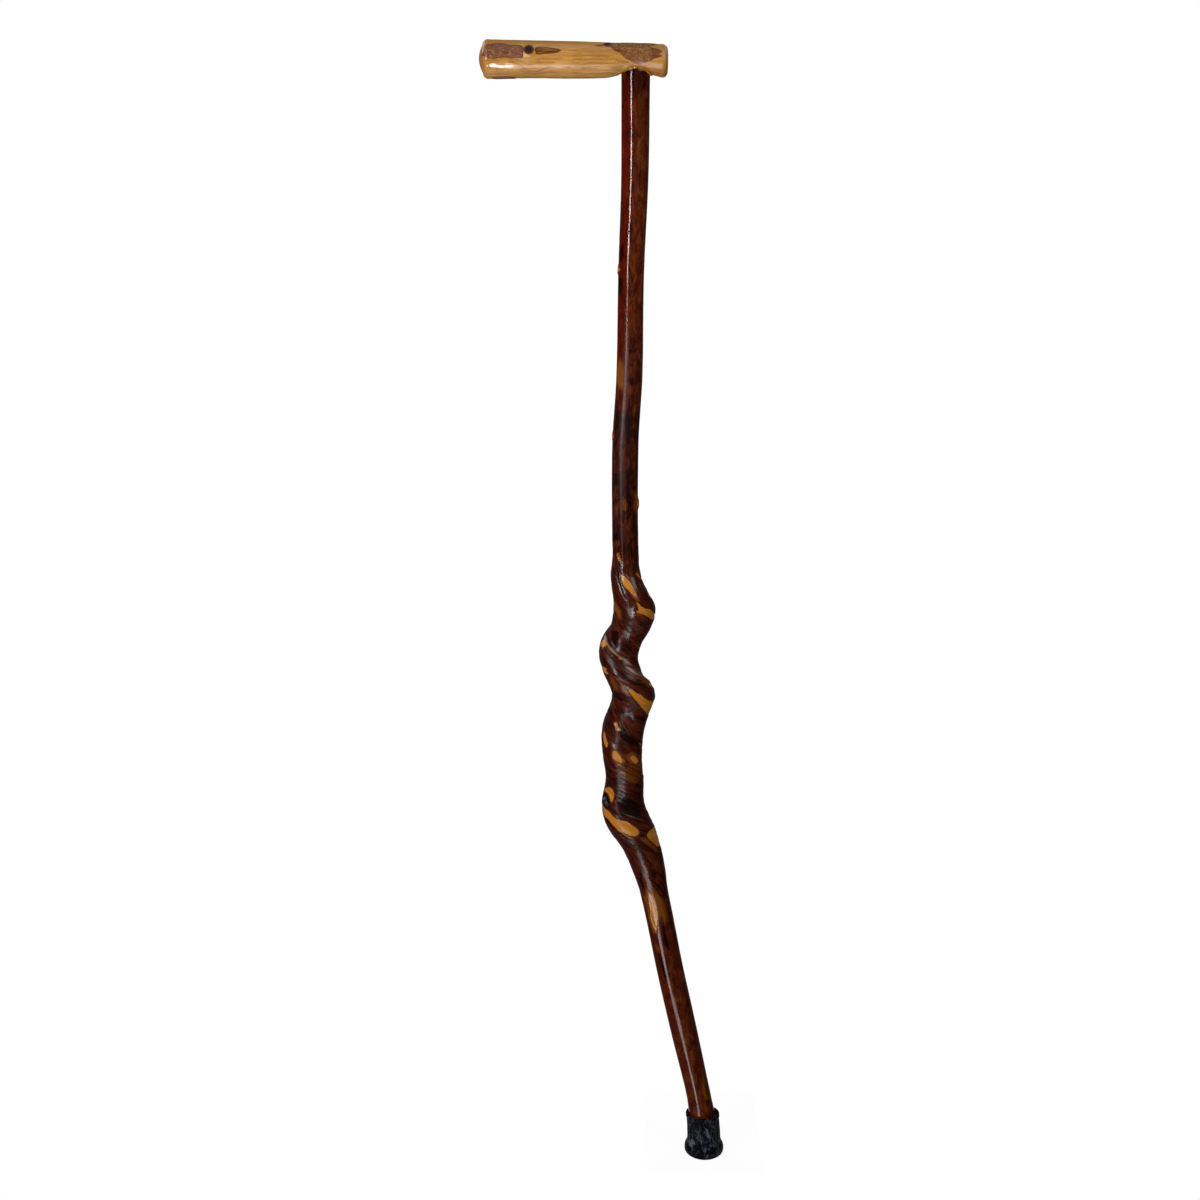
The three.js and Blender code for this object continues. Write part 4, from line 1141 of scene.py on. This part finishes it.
def gluePoint(turn, row):
    kind, radius, height = glueRowList[row]
    angle = 2 * pi * turn
    share = blendTo(glue["thinnest"], 1, easeIn(cos(angle - radians(glue["thickSide"])), 0, 0.9))
    ripple = sum(part * waver(around * cos(angle), around * sin(angle), 0, seed)
                 for around, seed, part in glue["waves"])
    width = glue["bead"] * share * (1 + ripple)
    if kind == "bead":
        radius = topHalf + glue["gap"] + radius * width
        height = -height * width / glue["bead"]
    if kind == "root":
        height = -1.1 * width
    x, y = -cane["upperReach"] + radius * cos(angle), radius * sin(angle)
    return (x, y, height if kind == "set" else skinHeight(x, y) + height), (), None


glueRing = wrapGrid("glue_ring", glue["sides"], len(glueRowList) - 1, gluePoint)


def amberGlue():
    f = Finish("amber_glue", {"Roughness": 0.15, "IOR": 1.45})
    cloud = f.cloud(f.objectPlace(), (300, 300, 500), 4, 0.6)
    f.into("Base Color", f.ramp(cloud, glue["colours"]))
    f.into("Roughness", 0.1 + 0.15 * cloud)
    f.bump(cloud, 0.0003)
    return f


finishPiece(glueRing, amberGlue(), "joint_glue")


# The washer keeps the CAD's shape and gets a zinc finish
def galvanisedSteel():
    f = Finish("galvanised_steel", {"Metallic": 1.0, "Roughness": 0.35})
    place = f.objectPlace()
    spangle = f.cells(place, (900, 900, 900), "Color")
    f.into("Base Color", f.mixed("#a8aaab", spangle, 0.08))
    f.into("Roughness", 0.25 + 0.2 * f.cloud(place, (400, 400, 400), 4))
    return f


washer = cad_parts["ferrule_washer"]
washer.data.materials.clear()
washer.data.materials.append(galvanisedSteel().material)
print("washer finished")


room = {
    "floorFront": -0.035, "floorBack": 0.09, "floorSide": 0.05, "floorHeight": -0.0003,
    "floorShine": 0.96,
    "curtainRadius": 2.4, "curtainBottom": -6, "curtainTop": 8, "curtainFade": (-0.5, 2.4),
    "curtainColours": [(0, "#141414"), (0.5, "#262626"), (1, "#808080")],
    "middle": -0.07, "windowDistance": 1.35,
    # the window's panes from the top down: bottom, top, degrees left of view, width, brightness
    "panes": [(0.6, 1.1, 34.5, 0.12, 38), (0.2, 0.6, 34, 0.18, 2), (-0.35, 0.2, 34, 0.12, 4),
              (-0.5, -0.35, 33, 0.2, 8), (-0.75, -0.5, 26, 0.6, 7), (-0.95, -0.75, 20, 0.7, 4.5),
              (-1.25, -0.95, 15, 0.35, 6)],
    "lowWindow": {"place": (-0.17, -1.2, -0.3), "target": (-0.18, 0, 0.9), "width": 0.1,
                  "height": 0.6, "brightness": 1.4, "spread": 24},
    "fills": [("left_fill", -1.16, -0.91), ("right_fill", 1.0, -0.91),
              ("back_left", -1.16, 0.91), ("back_right", 1.0, 0.91)],
    "fillHeight": 1.6, "fillTarget": 0.5, "fillWidth": 1.0, "fillTall": 0.8, "fillBrightness": 3.5,
}
white = (1, 1, 1, 1)


def layFloor():
    shape = bmesh.new()
    bmesh.ops.create_grid(shape, x_segments=1, y_segments=1, size=1)
    for vert in shape.verts:
        vert.co.x *= room["floorSide"]
        vert.co.y = room["floorFront"] if vert.co.y < 0 else room["floorBack"]
        vert.co.z = room["floorHeight"]
    floor = pieceFrom(shape, "floor")
    f = Finish("white_floor", {"Roughness": 0.9, "Base Color": white})
    seen, mirrored, through = (f.node("ShaderNodeLightPath", output="Is %s Ray" % kind)
                               for kind in ("Camera", "Glossy", "Transmission"))
    shine = f.node("ShaderNodeEmission", {}, {"Color": white, "Strength": 1})
    surface = f.node("ShaderNodeMixShader", {}, {
        0: room["floorShine"] * seen.orMore(mirrored).orMore(through),
        1: Socket(f, f.shader.outputs[0]), 2: shine})
    f.links.new(surface.link, f.nodes["Material Output"].inputs["Surface"])
    floor.data.materials.append(f.material)


# A curtain all round, dark on the camera's side, which only reflections and soft light see
def hangCurtain():
    shape = bmesh.new()
    bmesh.ops.create_circle(shape, radius=room["curtainRadius"], segments=48)
    for vert in shape.verts:
        vert.co.z = room["curtainBottom"]
    raised = bmesh.ops.extrude_edge_only(shape, edges=shape.edges)["geom"]
    rail = [part for part in raised if isinstance(part, bmesh.types.BMVert)]
    bmesh.ops.translate(shape, verts=rail, vec=(0, 0, room["curtainTop"] - room["curtainBottom"]))
    curtain = pieceFrom(shape, "curtain")
    curtain.visible_camera = False
    f = Finish("grey_curtain", {"Roughness": 1.0})
    away = f.node("ShaderNodeSeparateXYZ", {}, {0: f.objectPlace()}, output=1)
    f.into("Base Color", f.ramp(away.ease(*room["curtainFade"]), room["curtainColours"]))
    curtain.data.materials.append(f.material)


# A soft box that faces its target: width, height and how bright its face is
def softBox(name, place, target, width, height, brightness, spread=180):
    lamp = bpy.data.lights.new(name, "AREA")
    lamp.shape = "RECTANGLE"
    lamp.size = width
    lamp.size_y = height
    lamp.energy = brightness * width * height * pi
    lamp.spread = radians(spread)
    holder = bpy.data.objects.new(name, lamp)
    holder.location = place
    holder.rotation_euler = (Vector(target) - Vector(place)).to_track_quat("-Z", "Y").to_euler()
    holder.visible_camera = False
    bpy.context.scene.collection.objects.link(holder)


def lightRoom():
    middle, distance = room["middle"], room["windowDistance"]
    for i, (bottom, top, turn, width, brightness) in enumerate(room["panes"]):
        height = (bottom + top) / 2
        place = (middle - distance * sin(radians(turn)), -distance * cos(radians(turn)), height)
        softBox("window_pane_%d" % i, place, (middle, 0, height), width, top - bottom, brightness)
    softBox("low_window", **room["lowWindow"])
    for name, x, y in room["fills"]:
        softBox(name, (x, y, room["fillHeight"]), (middle, 0, room["fillTarget"]),
                room["fillWidth"], room["fillTall"], room["fillBrightness"])


layFloor()
hangCurtain()
world = bpy.data.worlds.new("white_room")
world.use_nodes = True
background = world.node_tree.nodes["Background"].inputs
background["Color"].default_value = white
background["Strength"].default_value = 1.0
bpy.context.scene.world = world
lightRoom()
print("room lit")

bpy.context.view_layer.update()
bpy.context.scene.view_settings.view_transform = "Standard"
print("ready")
